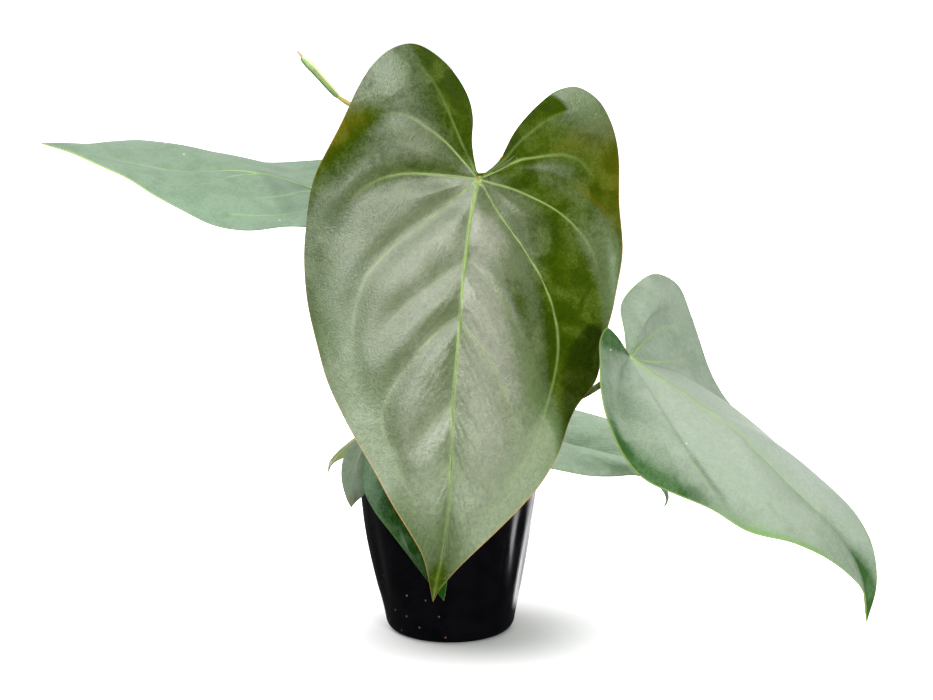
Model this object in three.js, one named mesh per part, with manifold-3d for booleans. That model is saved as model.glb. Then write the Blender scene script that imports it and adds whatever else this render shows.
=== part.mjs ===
// A hybrid anthurium with large heart-shaped leaves, growing in a soft black nursery pot.
// Millimetres, +Z up. The origin is the centre of the pot's base, and the big front leaf faces -Y.
import * as THREE from "three";
import { mergeVertices } from "three/addons/utils/BufferGeometryUtils.js";
import Module from "manifold-3d";

const wasm = await Module();
wasm.setup();

// Pot: thin film, wider at the top, with a rounded foot and a turned lip.
const POT_HEIGHT = 108;
const POT_TOP_RADIUS = 60;
const POT_BASE_RADIUS = 42.5;
const POT_FOOT_RADIUS = 8;
const POT_WALL = 1.2;
const POT_FLOOR = 1.6;
const LIP_HEIGHT = 6;
const LIP_PROUD = 1.6;
const DRAIN_COUNT = 6;
const DRAIN_RADIUS = 4;
const DRAIN_CIRCLE = 25;
// Where the soft wall is pressed in: direction and half width in degrees, depth, and height of the dent.
const POT_DENTS = [
  { toward: -32, width: 9, depth: 2.4, height: 74 },
  { toward: -14, width: 7, depth: 1.6, height: 46 },
  { toward: 28, width: 14, depth: 2.0, height: 60 },
  { toward: 96, width: 12, depth: 2.2, height: 50 },
  { toward: 150, width: 8, depth: 1.5, height: 70 },
  { toward: 206, width: 8, depth: 1.8, height: 58 },
  { toward: 238, width: 7, depth: 1.3, height: 40 },
];
const DENT_SPAN = 34;
const DENT_FADE = 30;

// Potting mix: coarse bark that fills the pot to a little under its lip.
const MIX_TOP = 94;
const MIX_CLEARANCE = 0.4;
const CHIP_COUNT = 90;
const CHIP_SEED = 7;
const CHIP_NEAR = 16;
const CHIP_FAR = 54;

// Stem: a short knobbly trunk that stands in a blind hole in the mix.
const STEM_FOOT = 64;
const STEM_TOP = 128;
const STEM_RADIUS = 8.6;
const STEM_NODES = 7;

const SEAT_GAP = 0.35;
const ROUND_SIDES = 40;
const STALK_SIDES = 8;
const STALK_STEP = 8;
const KNEE_LENGTH = 9;
const KNEE_GIRTH = 1.22;

// Leaves. Rows of a blade run from the junction or the midrib out to the margin. A row's share t is
// its place along the margin, from the bottom of the notch (0) to the tip (1).
const FAN_SHARE = 0.65;
const WIDEST_SHARE = 0.42;
const VEIN_ROWS = [0.19, 0.36, 0.5, 0.65, 0.715, 0.775, 0.84, 0.9];
const ROW_STOPS = [0, 0.1, ...VEIN_ROWS, 0.95, 1];
const FINE_COLUMNS = [0, 0.12, 0.25, 0.38, 0.51, 0.64, 0.77, 0.89, 1];
const MEDIUM_COLUMNS = [0, 0.2, 0.4, 0.6, 0.77, 1];
const COARSE_COLUMNS = [0, 0.25, 0.5, 0.77, 1];
const COLLECTIVE_SHARE = 0.77;
// How much thicker the blade is under the midrib and under a vein. Short rows have lower ribs.
const MIDRIB_RIB = 1;
const VEIN_RIB = 0.35;
const RIB_FADE = 30;
// How much of its half's common normal each row's own normal takes up.
const BASE_NORMAL_SHARE = 0.3;
// How strongly the normals round the junction and the tip are drawn to their common direction.
const CROWD_PULL = 1.6;
// How far a row bows towards the leaf's base, as a share of its length, at each row share.
const ROW_BOW = [[0, 0], [0.15, -0.01], [0.19, 0.03], [0.25, 0.18], [0.36, 0.5], [0.5, 0.46], [0.65, 0.31],
  [0.85, 0.16], [1, 0]];

const SAGE = 0x7d9463;
const GREY_GREEN = 0x86a083;
const DEEP_GREEN = 0x4f6f3a;
const LIGHT_GREEN = 0x8fa457;
const STALK_GREEN = 0x566b22;
const YOUNG_STALK = 0x8a7a35;

// Each leaf: its midrib from the junction to the tip, the margins of its left and right halves from
// the bottom of the notch to the tip, as the leaf is seen from above its face with the tip down, and
// its stalk from the stem to just behind the junction.
const LEAVES = [
  {
    name: "front",
    bow: [1, 1],
    crowdReach: 16,
    colour: SAGE,
    thickness: 1.0,
    camber: 0.05,
    quilt: 0.022,
    steps: 3,
    columns: FINE_COLUMNS,
    midrib: [[16.5, -79, 302], [14, -82, 292], [10, -90, 262], [7, -97, 225], [3, -102, 178], [1, -103, 127],
      [-3, -101, 85], [-11, -95, 46]],
    left: [[19, -75, 317], [16, -71, 331], [13, -66, 355], [6, -64, 370], [-4, -64, 385], [-18, -68, 396],
      [-27, -72, 397], [-39, -76, 392], [-52, -80, 378], [-67, -82, 348], [-84, -82, 314], [-89, -82, 287],
      [-91, -82, 259], [-86, -86, 223], [-75, -92, 184], [-59, -98, 153], [-41, -101, 121], [-25, -100, 93],
      [-14, -97, 64], [-11, -95, 46]],
    right: [[19, -75, 317], [27, -73, 320], [36, -69, 333], [46, -65, 347], [61, -62, 362], [80, -62, 370],
      [93, -62, 363], [102, -60, 348], [107, -58, 327], [108, -57, 295], [110, -58, 263], [105, -60, 232],
      [98, -62, 206], [93, -66, 184], [81, -72, 167], [72, -80, 145], [51, -91, 111], [27, -97, 89],
      [2, -98, 64], [-7, -96, 53], [-11, -95, 46]],
    stalkRadius: 2.5,
    stalk: [[2, -7, 115], [6, -20, 160], [11, -36, 220], [16, -50, 272], [18.5, -59, 298], [19, -66, 309]],
  },
  {
    name: "right",
    bow: [0.4, 0.7],
    crowdReach: 14,
    colour: GREY_GREEN,
    thickness: 1.0,
    camber: 0.04,
    quilt: 0.018,
    steps: 2,
    columns: FINE_COLUMNS,
    midrib: [[120, -74.5, 196], [143, -84, 184], [177, -94, 160], [213, -102, 125], [238, -106, 101],
      [250, -108, 86], [259, -111, 70], [263, -115, 39]],
    left: [[113, -74, 202], [106, -80, 214], [99, -90, 222], [94, -105, 216], [93, -119, 206],
      [93, -130, 193], [98, -141, 171], [107, -150, 152], [118, -156, 141], [138, -160, 132],
      [160, -158, 122], [183, -152, 107], [212, -142, 97], [232, -131, 86], [250, -122, 71],
      [260, -118, 59], [263, -115, 39]],
    right: [[113, -74, 202], [112, -64, 213], [110, -50, 228], [116, -36, 237], [135, -14, 246],
      [153, 2, 235], [162, 8, 214], [168, 8, 197], [177, 4, 174], [188, -6, 157], [199, -16, 145],
      [218, -28, 131], [235, -43, 118], [252, -62, 107], [263, -80, 96], [269, -94, 82], [270, -106, 60],
      [263, -115, 39]],
    stalkRadius: 2.2,
    stalk: [[7, -4.5, 108], [24, -14, 128], [52, -32, 152], [80, -50, 168], [89, -55, 173.5],
      [98, -61, 181], [107, -66, 190]],
  },
  {
    name: "left",
    bow: [0.7, 0.7],
    crowdReach: 14,
    colour: GREY_GREEN,
    thickness: 1.0,
    camber: 0.03,
    quilt: 0.016,
    steps: 2,
    columns: FINE_COLUMNS,
    midrib: [[-79, 3, 297.5], [-91, 0, 301], [-105, -3, 306], [-133, -8, 313], [-168, -13, 313],
      [-196, -18, 317], [-230, -24, 324], [-262, -32, 333]],
    left: [[-70, 5, 297], [-60, 16, 302], [-46, 34, 308], [-39, 54, 313], [-46, 72, 315], [-68, 82, 315],
      [-100, 84, 312], [-125, 80, 311], [-148, 73, 314], [-175, 64, 321], [-194, 56, 325],
      [-211, 46, 329], [-227, 28, 330], [-241, 2, 330], [-252, -18, 332], [-262, -32, 333]],
    right: [[-70, 5, 297], [-58, -2, 294], [-43, -14, 290], [-33, -32, 288], [-38, -50, 286],
      [-54, -63, 285], [-78, -71, 284], [-101, -75, 284], [-125, -76, 282], [-147, -74, 285],
      [-168, -69, 294], [-186, -62, 302], [-205, -52, 312], [-224, -44, 320], [-243, -38, 328],
      [-262, -32, 333]],
    stalkRadius: 2.3,
    stalk: [[-7, 0.5, 121], [-18, 2, 150], [-38, 3, 200], [-58, 4, 250], [-69, 4, 275], [-73, 4, 287]],
  },
  {
    name: "low_right",
    bow: [0.55, 0.55],
    crowdReach: 11,
    colour: GREY_GREEN,
    thickness: 0.9,
    camber: 0.05,
    quilt: 0.018,
    steps: 2,
    columns: MEDIUM_COLUMNS,
    midrib: [[50, 24, 128.5], [65, 25, 126], [84, 26, 122], [105, 27, 117], [126, 27, 111], [142, 26, 101],
      [148, 25, 89], [147, 24, 78]],
    left: [[45, 24, 130], [40, 16, 130], [35, 4, 129], [35, -10, 126], [43, -21, 122], [56, -28, 120],
      [71, -30, 117], [90, -27, 113], [108, -18, 110], [127, -4, 107], [140, 10, 98], [146, 19, 87],
      [147, 24, 78]],
    right: [[45, 24, 130], [40, 32, 131], [36, 46, 134], [40, 60, 137], [50, 70, 139], [66, 75, 138],
      [82, 76, 137], [100, 73, 133], [116, 64, 129], [132, 52, 121], [145, 40, 109], [150, 30, 94],
      [147, 24, 78]],
    stalkRadius: 1.9,
    stalk: [[5.5, 5.5, 104], [18, 12, 111], [32, 18, 117], [42, 22, 121], [46, 23.5, 124]],
  },
  {
    name: "low_front",
    bow: [0.6, 0.6],
    crowdReach: 9,
    colour: DEEP_GREEN,
    thickness: 0.9,
    camber: 0.05,
    quilt: 0.018,
    steps: 2,
    columns: MEDIUM_COLUMNS,
    midrib: [[-29.5, -73, 136.5], [-29, -79, 125], [-26.5, -85, 106.5], [-22, -88, 88], [-16, -88, 71.5],
      [-9, -86, 55], [-3.5, -84, 43]],
    left: [[-30.5, -71, 140], [-34.5, -68, 143.5], [-41, -64, 147], [-47.5, -61, 146], [-53.5, -60, 139],
      [-56, -61, 127.5], [-55.5, -64, 111.5], [-48.5, -70, 99], [-38, -75, 86.5], [-28, -79, 74],
      [-16.5, -82, 59], [-8.5, -84, 49.5], [-3.5, -84, 43]],
    right: [[-30.5, -71, 140], [-26.5, -68, 144.5], [-19.5, -65, 148], [-12, -63, 146], [-5.5, -63, 138.5],
      [-2, -65, 125], [-1.5, -69, 106], [-1.5, -75, 87.5], [-1.5, -80, 69], [-1.5, -83, 55.5],
      [-3.5, -84, 43]],
    stalkRadius: 1.7,
    stalk: [[-4, -6.5, 103], [-12, -24, 116], [-20, -44, 130], [-26, -58, 137], [-29, -66, 138]],
  },
  {
    name: "low_left",
    bow: [0.4, 0.4],
    crowdReach: 6,
    colour: GREY_GREEN,
    thickness: 0.8,
    camber: 0.08,
    quilt: 0.014,
    steps: 2,
    columns: COARSE_COLUMNS,
    midrib: [[-56.5, -39.5, 133.5], [-59.5, -42, 127], [-62.5, -44, 116.5], [-64.5, -44, 107],
      [-64.5, -43, 100], [-65, -42, 94]],
    left: [[-55.5, -39, 136.5], [-58, -38, 139], [-62, -36, 137.5], [-67.5, -35, 132], [-71, -35, 122.5],
      [-71.5, -37, 113.5], [-70, -40, 106], [-67.5, -42, 99], [-65, -42, 94]],
    right: [[-55.5, -39, 136.5], [-52, -37, 136.5], [-49, -35, 133.5], [-47.5, -34, 126.5],
      [-48.5, -35, 117], [-51.5, -38, 108], [-57.5, -41, 101.5], [-62, -42, 97.5], [-65, -42, 94]],
    stalkRadius: 1.4,
    stalk: [[-7, -3.5, 101], [-26, -13, 116], [-42, -21, 128], [-51, -27, 132], [-55.5, -33, 131.5]],
  },
  {
    name: "curled",
    bow: [0.3, 0.3],
    crowdReach: 6,
    colour: LIGHT_GREEN,
    thickness: 0.8,
    camber: 0.06,
    quilt: 0.014,
    steps: 2,
    columns: COARSE_COLUMNS,
    midrib: [[-54.5, -0.5, 134.3], [-59.5, -2, 133], [-66, -4, 130], [-72, -6, 125], [-77.5, -7, 119],
      [-81.5, -7, 114], [-83, -6, 109]],
    left: [[-52.5, 0, 135], [-51.5, 5, 135.5], [-54, 12, 134], [-60.5, 17, 130.5], [-66, 16, 128],
      [-72, 12, 125], [-77.5, 5, 120], [-81, -1, 115.5], [-83, -6, 109]],
    right: [[-52.5, 0, 135], [-51, -4, 133.5], [-51.5, -10, 130.5], [-56, -14, 127.5], [-63, -15, 126],
      [-68.5, -14, 123], [-74.5, -12, 118], [-79.5, -9, 113.5], [-83, -6, 109]],
    stalkRadius: 1.4,
    stalk: [[-7.5, -1, 110], [-28, -2, 116], [-44, -1.5, 122], [-51, 0, 129]],
  },
];

// The youngest leaf is still rolled up along its midrib at the end of its stalk.
const ROLLED = {
  stalkRadius: 1.7,
  stalk: [[0, 3, 124], [-6, 6, 180], [-16, 8, 250], [-30, 10, 305], [-48, 11, 338], [-60, 12, 351.5],
    [-68, 12.5, 356], [-74, 13, 360]],
  blade: [[-74, 13, 360], [-80, 11.5, 367], [-87.5, 10, 375.5], [-95, 8, 384], [-100, 6, 390]],
  radius: 3.1,
  overlap: 0.9,
};

const vector = (p) => new THREE.Vector3(p[0], p[1], p[2]);
const curveThrough = (points) => new THREE.CatmullRomCurve3(points.map(vector), false, "centripetal");

// A repeatable stream of numbers between 0 and 1.
function seededRandom(seed) {
  let state = seed;
  return () => {
    state = (state * 1664525 + 1013904223) % 4294967296;
    return state / 4294967296;
  };
}

// The value at x of a line drawn through sorted [x, value] pairs.
function lineThrough(pairs, x) {
  const next = pairs.findIndex(([px]) => px >= x);
  if (next <= 0) return pairs[next === 0 ? 0 : pairs.length - 1][1];
  const [x0, v0] = pairs[next - 1];
  const [x1, v1] = pairs[next];
  return v0 + ((v1 - v0) * (x - x0)) / (x1 - x0);
}

function toSolid(geometry) {
  const bare = geometry.clone();
  bare.deleteAttribute("normal");
  bare.deleteAttribute("uv");
  const merged = mergeVertices(bare, 1e-4);
  return new wasm.Manifold(new wasm.Mesh({
    numProp: 3,
    vertProperties: new Float32Array(merged.attributes.position.array),
    triVerts: new Uint32Array(merged.index.array),
  }));
}

// The solid's largest body, so a sliver that a cut leaves behind is dropped.
function toGeometry(solid) {
  const bodies = solid.decompose().sort((a, b) => b.volume() - a.volume());
  const mesh = bodies[0].getMesh();
  const geometry = new THREE.BufferGeometry();
  geometry.setAttribute("position", new THREE.BufferAttribute(mesh.vertProperties, 3));
  geometry.setIndex(new THREE.BufferAttribute(mesh.triVerts, 1));
  return geometry;
}

function indexedGeometry(points, triangles) {
  const geometry = new THREE.BufferGeometry().setFromPoints(points);
  geometry.setIndex(triangles.flat());
  return geometry;
}

// A round body about Z from a profile of [radius, z] that runs from its foot to its top.
function turned(profile, sides) {
  const points = profile.map(([radius, z]) => new THREE.Vector2(radius, z));
  const geometry = new THREE.LatheGeometry(points, sides);
  geometry.rotateX(Math.PI / 2);
  return geometry;
}

// Moves each vertex of a turned body by shape(radius, angle, z), which gives its new radius and z.
function reshape(geometry, shape) {
  const position = geometry.attributes.position;
  for (let i = 0; i < position.count; i++) {
    const [x, y, z] = [position.getX(i), position.getY(i), position.getZ(i)];
    const radius = Math.hypot(x, y);
    const angle = Math.atan2(y, x);
    const moved = shape(radius, angle, z);
    position.setXYZ(i, moved.radius * Math.cos(angle), moved.radius * Math.sin(angle), moved.z);
  }
  return geometry;
}

// A closed tube along a curve, whose radius is radiusAt(share along it, angle round it).
function sweep(curve, steps, sides, radiusAt) {
  const frames = curve.computeFrenetFrames(steps, false);
  const points = [];
  const triangles = [];
  for (let i = 0; i <= steps; i++) {
    const centre = curve.getPointAt(i / steps);
    for (let k = 0; k < sides; k++) {
      const angle = (2 * Math.PI * k) / sides;
      const radius = radiusAt(i / steps, angle);
      points.push(centre.clone()
        .addScaledVector(frames.normals[i], radius * Math.cos(angle))
        .addScaledVector(frames.binormals[i], radius * Math.sin(angle)));
    }
  }
  const at = (i, k) => i * sides + (k % sides);
  for (let i = 0; i < steps; i++)
    for (let k = 0; k < sides; k++)
      triangles.push([at(i, k), at(i, k + 1), at(i + 1, k + 1)], [at(i, k), at(i + 1, k + 1), at(i + 1, k)]);
  for (let k = 1; k < sides - 1; k++)
    triangles.push([at(0, 0), at(0, k + 1), at(0, k)], [at(steps, 0), at(steps, k), at(steps, k + 1)]);
  return indexedGeometry(points, triangles);
}

// How far the pot's wall is pressed in at an angle and a height.
function dentAt(angle, z) {
  const degrees = THREE.MathUtils.radToDeg(angle);
  return POT_DENTS.reduce((sum, dent) => {
    const off = ((degrees - dent.toward + 540) % 360) - 180;
    const across = Math.exp(-((off / dent.width) ** 2));
    const along = Math.exp(-(((z - dent.height) / DENT_SPAN) ** 2));
    return sum + dent.depth * across * along;
  }, 0);
}

// The dent at a point of the pot or of the mix: none on the floor, and less towards the foot.
function wallDentAt(radius, angle, z) {
  const onWall = radius > DRAIN_CIRCLE + DRAIN_RADIUS;
  return onWall ? dentAt(angle, z) * Math.min(1, z / DENT_FADE) : 0;
}

const potRadiusAt = (z) => POT_BASE_RADIUS + ((POT_TOP_RADIUS - POT_BASE_RADIUS) * z) / POT_HEIGHT;
const wallHeights = [20, 38, 56, 74, 90];

// The rounded corner between a floor and a wall, as [radius, z] points.
function footCorner(inset, floor) {
  const corner = POT_FOOT_RADIUS - inset;
  const centreRadius = potRadiusAt(POT_FOOT_RADIUS) - POT_FOOT_RADIUS;
  return [0, 42, 84].map((degrees) => {
    const turn = THREE.MathUtils.degToRad(degrees);
    return [centreRadius + corner * Math.sin(turn), floor + corner * (1 - Math.cos(turn))];
  });
}

function makePot() {
  const lipFoot = POT_HEIGHT - LIP_HEIGHT;
  const outer = wallHeights.map((z) => [potRadiusAt(z), z]);
  const inner = wallHeights.map((z) => [potRadiusAt(z) - POT_WALL, z]).reverse();
  const geometry = turned([
    [0, 0],
    ...footCorner(0, 0),
    ...outer,
    [potRadiusAt(lipFoot), lipFoot],
    [potRadiusAt(lipFoot) + LIP_PROUD, lipFoot + 0.8],
    [POT_TOP_RADIUS + LIP_PROUD, POT_HEIGHT - 0.8],
    [POT_TOP_RADIUS + LIP_PROUD - 0.8, POT_HEIGHT],
    [POT_TOP_RADIUS - POT_WALL, POT_HEIGHT],
    ...inner,
    ...footCorner(POT_WALL, POT_FLOOR).reverse(),
    [0, POT_FLOOR],
  ], ROUND_SIDES);
  reshape(geometry, (radius, angle, z) => ({ radius: radius - wallDentAt(radius, angle, z), z }));
  let solid = toSolid(geometry);
  for (let k = 0; k < DRAIN_COUNT; k++) {
    const angle = (2 * Math.PI * k) / DRAIN_COUNT;
    const drill = new THREE.CylinderGeometry(DRAIN_RADIUS, DRAIN_RADIUS, 4 * POT_FLOOR, 14);
    drill.rotateX(Math.PI / 2);
    drill.translate(DRAIN_CIRCLE * Math.cos(angle), DRAIN_CIRCLE * Math.sin(angle), 0);
    solid = solid.subtract(toSolid(drill));
  }
  return toGeometry(solid);
}

// Bark chips as low domes, higher away from the stem, strewn by a seeded draw.
function chipHeights() {
  const random = seededRandom(CHIP_SEED);
  const chips = Array.from({ length: CHIP_COUNT }, () => {
    const angle = 2 * Math.PI * random();
    const out = CHIP_NEAR + (CHIP_FAR - CHIP_NEAR) * Math.sqrt(random());
    const size = 3.5 + 4 * random();
    return { x: out * Math.cos(angle), y: out * Math.sin(angle), size, rise: 1 + 2.6 * random() };
  });
  return (x, y) => chips.reduce((top, chip) => {
    const near = 1 - Math.hypot(x - chip.x, y - chip.y) / chip.size;
    return Math.max(top, near > 0 ? chip.rise * Math.sqrt(near) : 0);
  }, 0);
}

function makeMix(stem) {
  const inset = POT_WALL + MIX_CLEARANCE;
  const rim = potRadiusAt(MIX_TOP) - inset;
  const rings = [0.93, 0.83, 0.73, 0.62, 0.51, 0.4, 0.29];
  const geometry = turned([
    [0, POT_FLOOR + MIX_CLEARANCE],
    ...footCorner(inset, POT_FLOOR + MIX_CLEARANCE),
    ...wallHeights.slice(0, -1).map((z) => [potRadiusAt(z) - inset, z]),
    [rim, MIX_TOP],
    ...rings.map((share) => [rim * share, MIX_TOP]),
    [0, MIX_TOP],
  ], ROUND_SIDES);
  const heightAt = chipHeights();
  reshape(geometry, (radius, angle, z) => {
    const onTop = z === MIX_TOP && radius < rim - 1;
    if (onTop) return { radius, z: z + heightAt(radius * Math.cos(angle), radius * Math.sin(angle)) };
    return { radius: radius - wallDentAt(radius, angle, z), z };
  });
  return toGeometry(toSolid(geometry).subtract(stem));
}

// The stem's own shape, or one that is larger all over by the clearance.
function stemGeometry(clearance) {
  const profile = [[0, STEM_FOOT - clearance], [STEM_RADIUS - 1.2 + clearance, STEM_FOOT - clearance]];
  const rise = (STEM_TOP - STEM_FOOT) / STEM_NODES;
  for (let k = 0; k < STEM_NODES; k++) {
    const z = STEM_FOOT + rise * k;
    const taper = 1 - 0.035 * k;
    profile.push([(STEM_RADIUS - 0.9) * taper + clearance, z + rise * 0.35]);
    profile.push([(STEM_RADIUS + 0.5) * taper + clearance, z + rise * 0.8]);
  }
  profile.push([STEM_RADIUS * 0.55 + clearance, STEM_TOP + clearance], [0, STEM_TOP + 1 + clearance]);
  return turned(profile, 14);
}

// The way a blade's half faces at its base. It steadies the rows that run almost along the margin.
function baseNormal(midrib, margin, upright) {
  const hub = midrib.getPointAt(0);
  const outward = margin.getPointAt(WIDEST_SHARE).sub(hub);
  const tipward = midrib.getPointAt(0.1).sub(hub);
  return outward.cross(tipward).multiplyScalar(upright).normalize();
}

// A row of a blade's half: its start on the midrib, its end on the margin, how it bows, and its normal.
function bladeRow(midrib, margin, share, upright, base, bow) {
  const past = Math.max(0, (share - FAN_SHARE) / (1 - FAN_SHARE));
  const start = midrib.getPointAt(0.8 * past + 0.2 * past * past);
  const end = margin.getPointAt(share);
  const chord = end.clone().sub(start);
  const length = chord.length();
  const [before, after] = [Math.max(0, share - 0.01), Math.min(1, share + 0.01)];
  const along = margin.getPointAt(after).sub(margin.getPointAt(before)).normalize();
  const normal = chord.clone().normalize().cross(along).multiplyScalar(upright);
  normal.addScaledVector(base, BASE_NORMAL_SHARE);
  normal.addScaledVector(chord, -normal.dot(chord) / Math.max(length * length, 1e-9)).normalize();
  const back = chord.clone().cross(normal).multiplyScalar(upright);
  const bend = start.clone().addScaledVector(chord, 0.5);
  bend.addScaledVector(back, bow * lineThrough(ROW_BOW, share));
  return { start, end, bend, normal, length };
}

// Height of the quilting between the veins: none on a vein, the midrib or the collective vein.
function quiltAt(share, out) {
  const stops = [0, ...VEIN_ROWS, 1];
  const next = stops.findIndex((stop) => stop > share + 1e-9);
  if (next < 1) return 0;
  const between = (share - stops[next - 1]) / (stops[next] - stops[next - 1]);
  const across = out < COLLECTIVE_SHARE ? Math.sin((Math.PI * out) / COLLECTIVE_SHARE) : 0;
  return Math.sin(Math.PI * between) ** 2 * across;
}

function rowShares(steps) {
  const shares = [0];
  for (let k = 1; k < ROW_STOPS.length; k++)
    for (let s = 1; s <= steps; s++)
      shares.push(ROW_STOPS[k - 1] + ((ROW_STOPS[k] - ROW_STOPS[k - 1]) * s) / steps);
  return shares;
}

// The face of a blade: its points, its triangles, the loop of its margin and where the veins run.
function bladeFace(leaf) {
  const midrib = curveThrough(leaf.midrib);
  const shares = rowShares(leaf.steps);
  const last = shares.length - 1;
  const outer = leaf.columns.length - 1;
  const points = [];
  const ribs = [];
  const ids = new Map();
  const place = (key, point, rib) => {
    if (!ids.has(key)) {
      ids.set(key, points.length);
      points.push(point);
      ribs.push(rib);
    }
    return ids.get(key);
  };
  const keyOf = (side, i, j) => {
    if (i === last) return "tip";
    if (j === 0) return shares[i] < FAN_SHARE + 1e-6 ? "junction" : `midrib ${i}`;
    return i === 0 ? `notch ${j}` : `${side} ${i} ${j}`;
  };
  const triangles = [];
  const loops = {};
  for (const [side, upright, bow] of [["left", 1, leaf.bow[0]], ["right", -1, leaf.bow[1]]]) {
    const margin = curveThrough(leaf[side]);
    const base = baseNormal(midrib, margin, upright);
    const grid = shares.map((share, i) => {
      const row = bladeRow(midrib, margin, share, upright, base, bow);
      return leaf.columns.map((out, j) => {
        const away = 1 - out;
        const point = row.start.clone().multiplyScalar(away * away)
          .addScaledVector(i === 0 ? row.start.clone().lerp(row.end, 0.5) : row.bend, 2 * out * away)
          .addScaledVector(row.end, out * out);
        const dome = 4 * out * away * leaf.camber + leaf.quilt * quiltAt(share, out);
        if (i > 0) point.addScaledVector(row.normal, row.length * dome);
        const onVein = VEIN_ROWS.some((vein) => Math.abs(vein - share) < 1e-6) && out < COLLECTIVE_SHARE;
        const rib = j === 0 ? MIDRIB_RIB : onVein ? VEIN_RIB : 0;
        return place(keyOf(side, i, j), point, rib * Math.min(1, row.length / RIB_FADE));
      });
    });
    for (let i = 0; i < last; i++)
      for (let j = 0; j < outer; j++) {
        const [a, b, c, d] = [grid[i][j], grid[i + 1][j], grid[i + 1][j + 1], grid[i][j + 1]];
        for (const [p, q, r] of [[a, b, c], [a, c, d]])
          if (p !== q && q !== r && r !== p) triangles.push(upright > 0 ? [p, r, q] : [p, q, r]);
      }
    loops[side] = grid.map((row) => row[outer]);
  }
  const loop = [...loops.left, ...loops.right.slice(1, -1).reverse()];
  return { points, triangles, loop, ribs };
}

// The normal at each point of a blade's face. Round the junction and the tip, where the rows crowd
// together, the normals share one direction, so that the upper and lower faces never cross.
function faceNormals(points, triangles, crowded, reach) {
  const geometry = indexedGeometry(points, triangles);
  geometry.computeVertexNormals();
  const { normal } = geometry.attributes;
  const normals = points.map((_, i) => new THREE.Vector3().fromBufferAttribute(normal, i));
  for (const centre of crowded) {
    const shares = points.map((point) => Math.exp(-((point.distanceTo(centre) / reach) ** 2)));
    const common = new THREE.Vector3();
    normals.forEach((each, i) => common.addScaledVector(each, shares[i]));
    common.normalize();
    normals.forEach((each, i) => each.lerp(common, Math.min(1, CROWD_PULL * shares[i])).normalize());
  }
  return normals;
}

// A blade as a closed solid, with its midrib and main veins raised underneath. With a clearance it
// is thicker by that much above and below.
function bladeGeometry(leaf, clearance) {
  const face = bladeFace(leaf);
  const crowded = [vector(leaf.midrib[0]), vector(leaf.midrib.at(-1))];
  const normals = faceNormals(face.points, face.triangles, crowded, leaf.crowdReach);
  const count = face.points.length;
  const upper = face.points.map((point, i) => point.clone().addScaledVector(normals[i], clearance));
  const lower = face.points.map((point, i) => {
    const depth = leaf.thickness * (1 + face.ribs[i]) + clearance;
    return point.clone().addScaledVector(normals[i], -depth);
  });
  const triangles = [...face.triangles];
  for (const [a, b, c] of face.triangles) triangles.push([a + count, c + count, b + count]);
  face.loop.forEach((from, k) => {
    const to = face.loop[(k + 1) % face.loop.length];
    triangles.push([to, from, from + count], [to, from + count, to + count]);
  });
  return indexedGeometry([...upper, ...lower], triangles);
}

// A stalk: a clasping base, a slim middle and a swollen knee under the blade.
function stalkGeometry(points, radius) {
  const curve = curveThrough(points);
  const knee = 1 - Math.min(0.3, KNEE_LENGTH / curve.getLength());
  const steps = Math.min(24, Math.max(10, Math.round(curve.getLength() / STALK_STEP)));
  const foot = [[0, 1.55], [0.06, 1.35], [0.14, 1.05], [0.3, 1]];
  const girth = [...foot, [knee - 0.03, 1], [knee + 0.02, KNEE_GIRTH], [1, KNEE_GIRTH]];
  return sweep(curve, steps, STALK_SIDES, (share) => radius * lineThrough(girth, share));
}

// Where a stalk ends: the seat gap below the raised underside of its blade's junction.
function underJunction(leaf) {
  const junction = vector(leaf.midrib[0]);
  const down = vector(leaf.stalk.at(-1)).sub(junction).normalize();
  return junction.addScaledVector(down, 2 * leaf.thickness + SEAT_GAP).toArray();
}

// The rolled blade, or one that is larger by the clearance all over.
function rolledBladeGeometry(clearance) {
  const girth = [[0, 0.6], [0.12, 0.9], [0.35, 1], [0.7, 0.92], [0.84, 0.7], [0.92, 0.3], [1, 0.2]];
  const [start, next, ...rest] = ROLLED.blade;
  const back = vector(start).sub(vector(next)).setLength(clearance);
  const path = curveThrough([vector(start).add(back).toArray(), next, ...rest]);
  return sweep(path, 14, 12, (share, angle) => {
    const wrap = (ROLLED.overlap * angle) / (2 * Math.PI);
    return lineThrough(girth, share) * (ROLLED.radius - ROLLED.overlap / 2 + wrap) + clearance;
  });
}

function meshOf(name, geometry, look) {
  const mesh = new THREE.Mesh(geometry, new THREE.MeshStandardMaterial(look));
  mesh.name = name;
  return mesh;
}

const leafLook = (color) => ({ color, roughness: 0.45, metalness: 0 });

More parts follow.
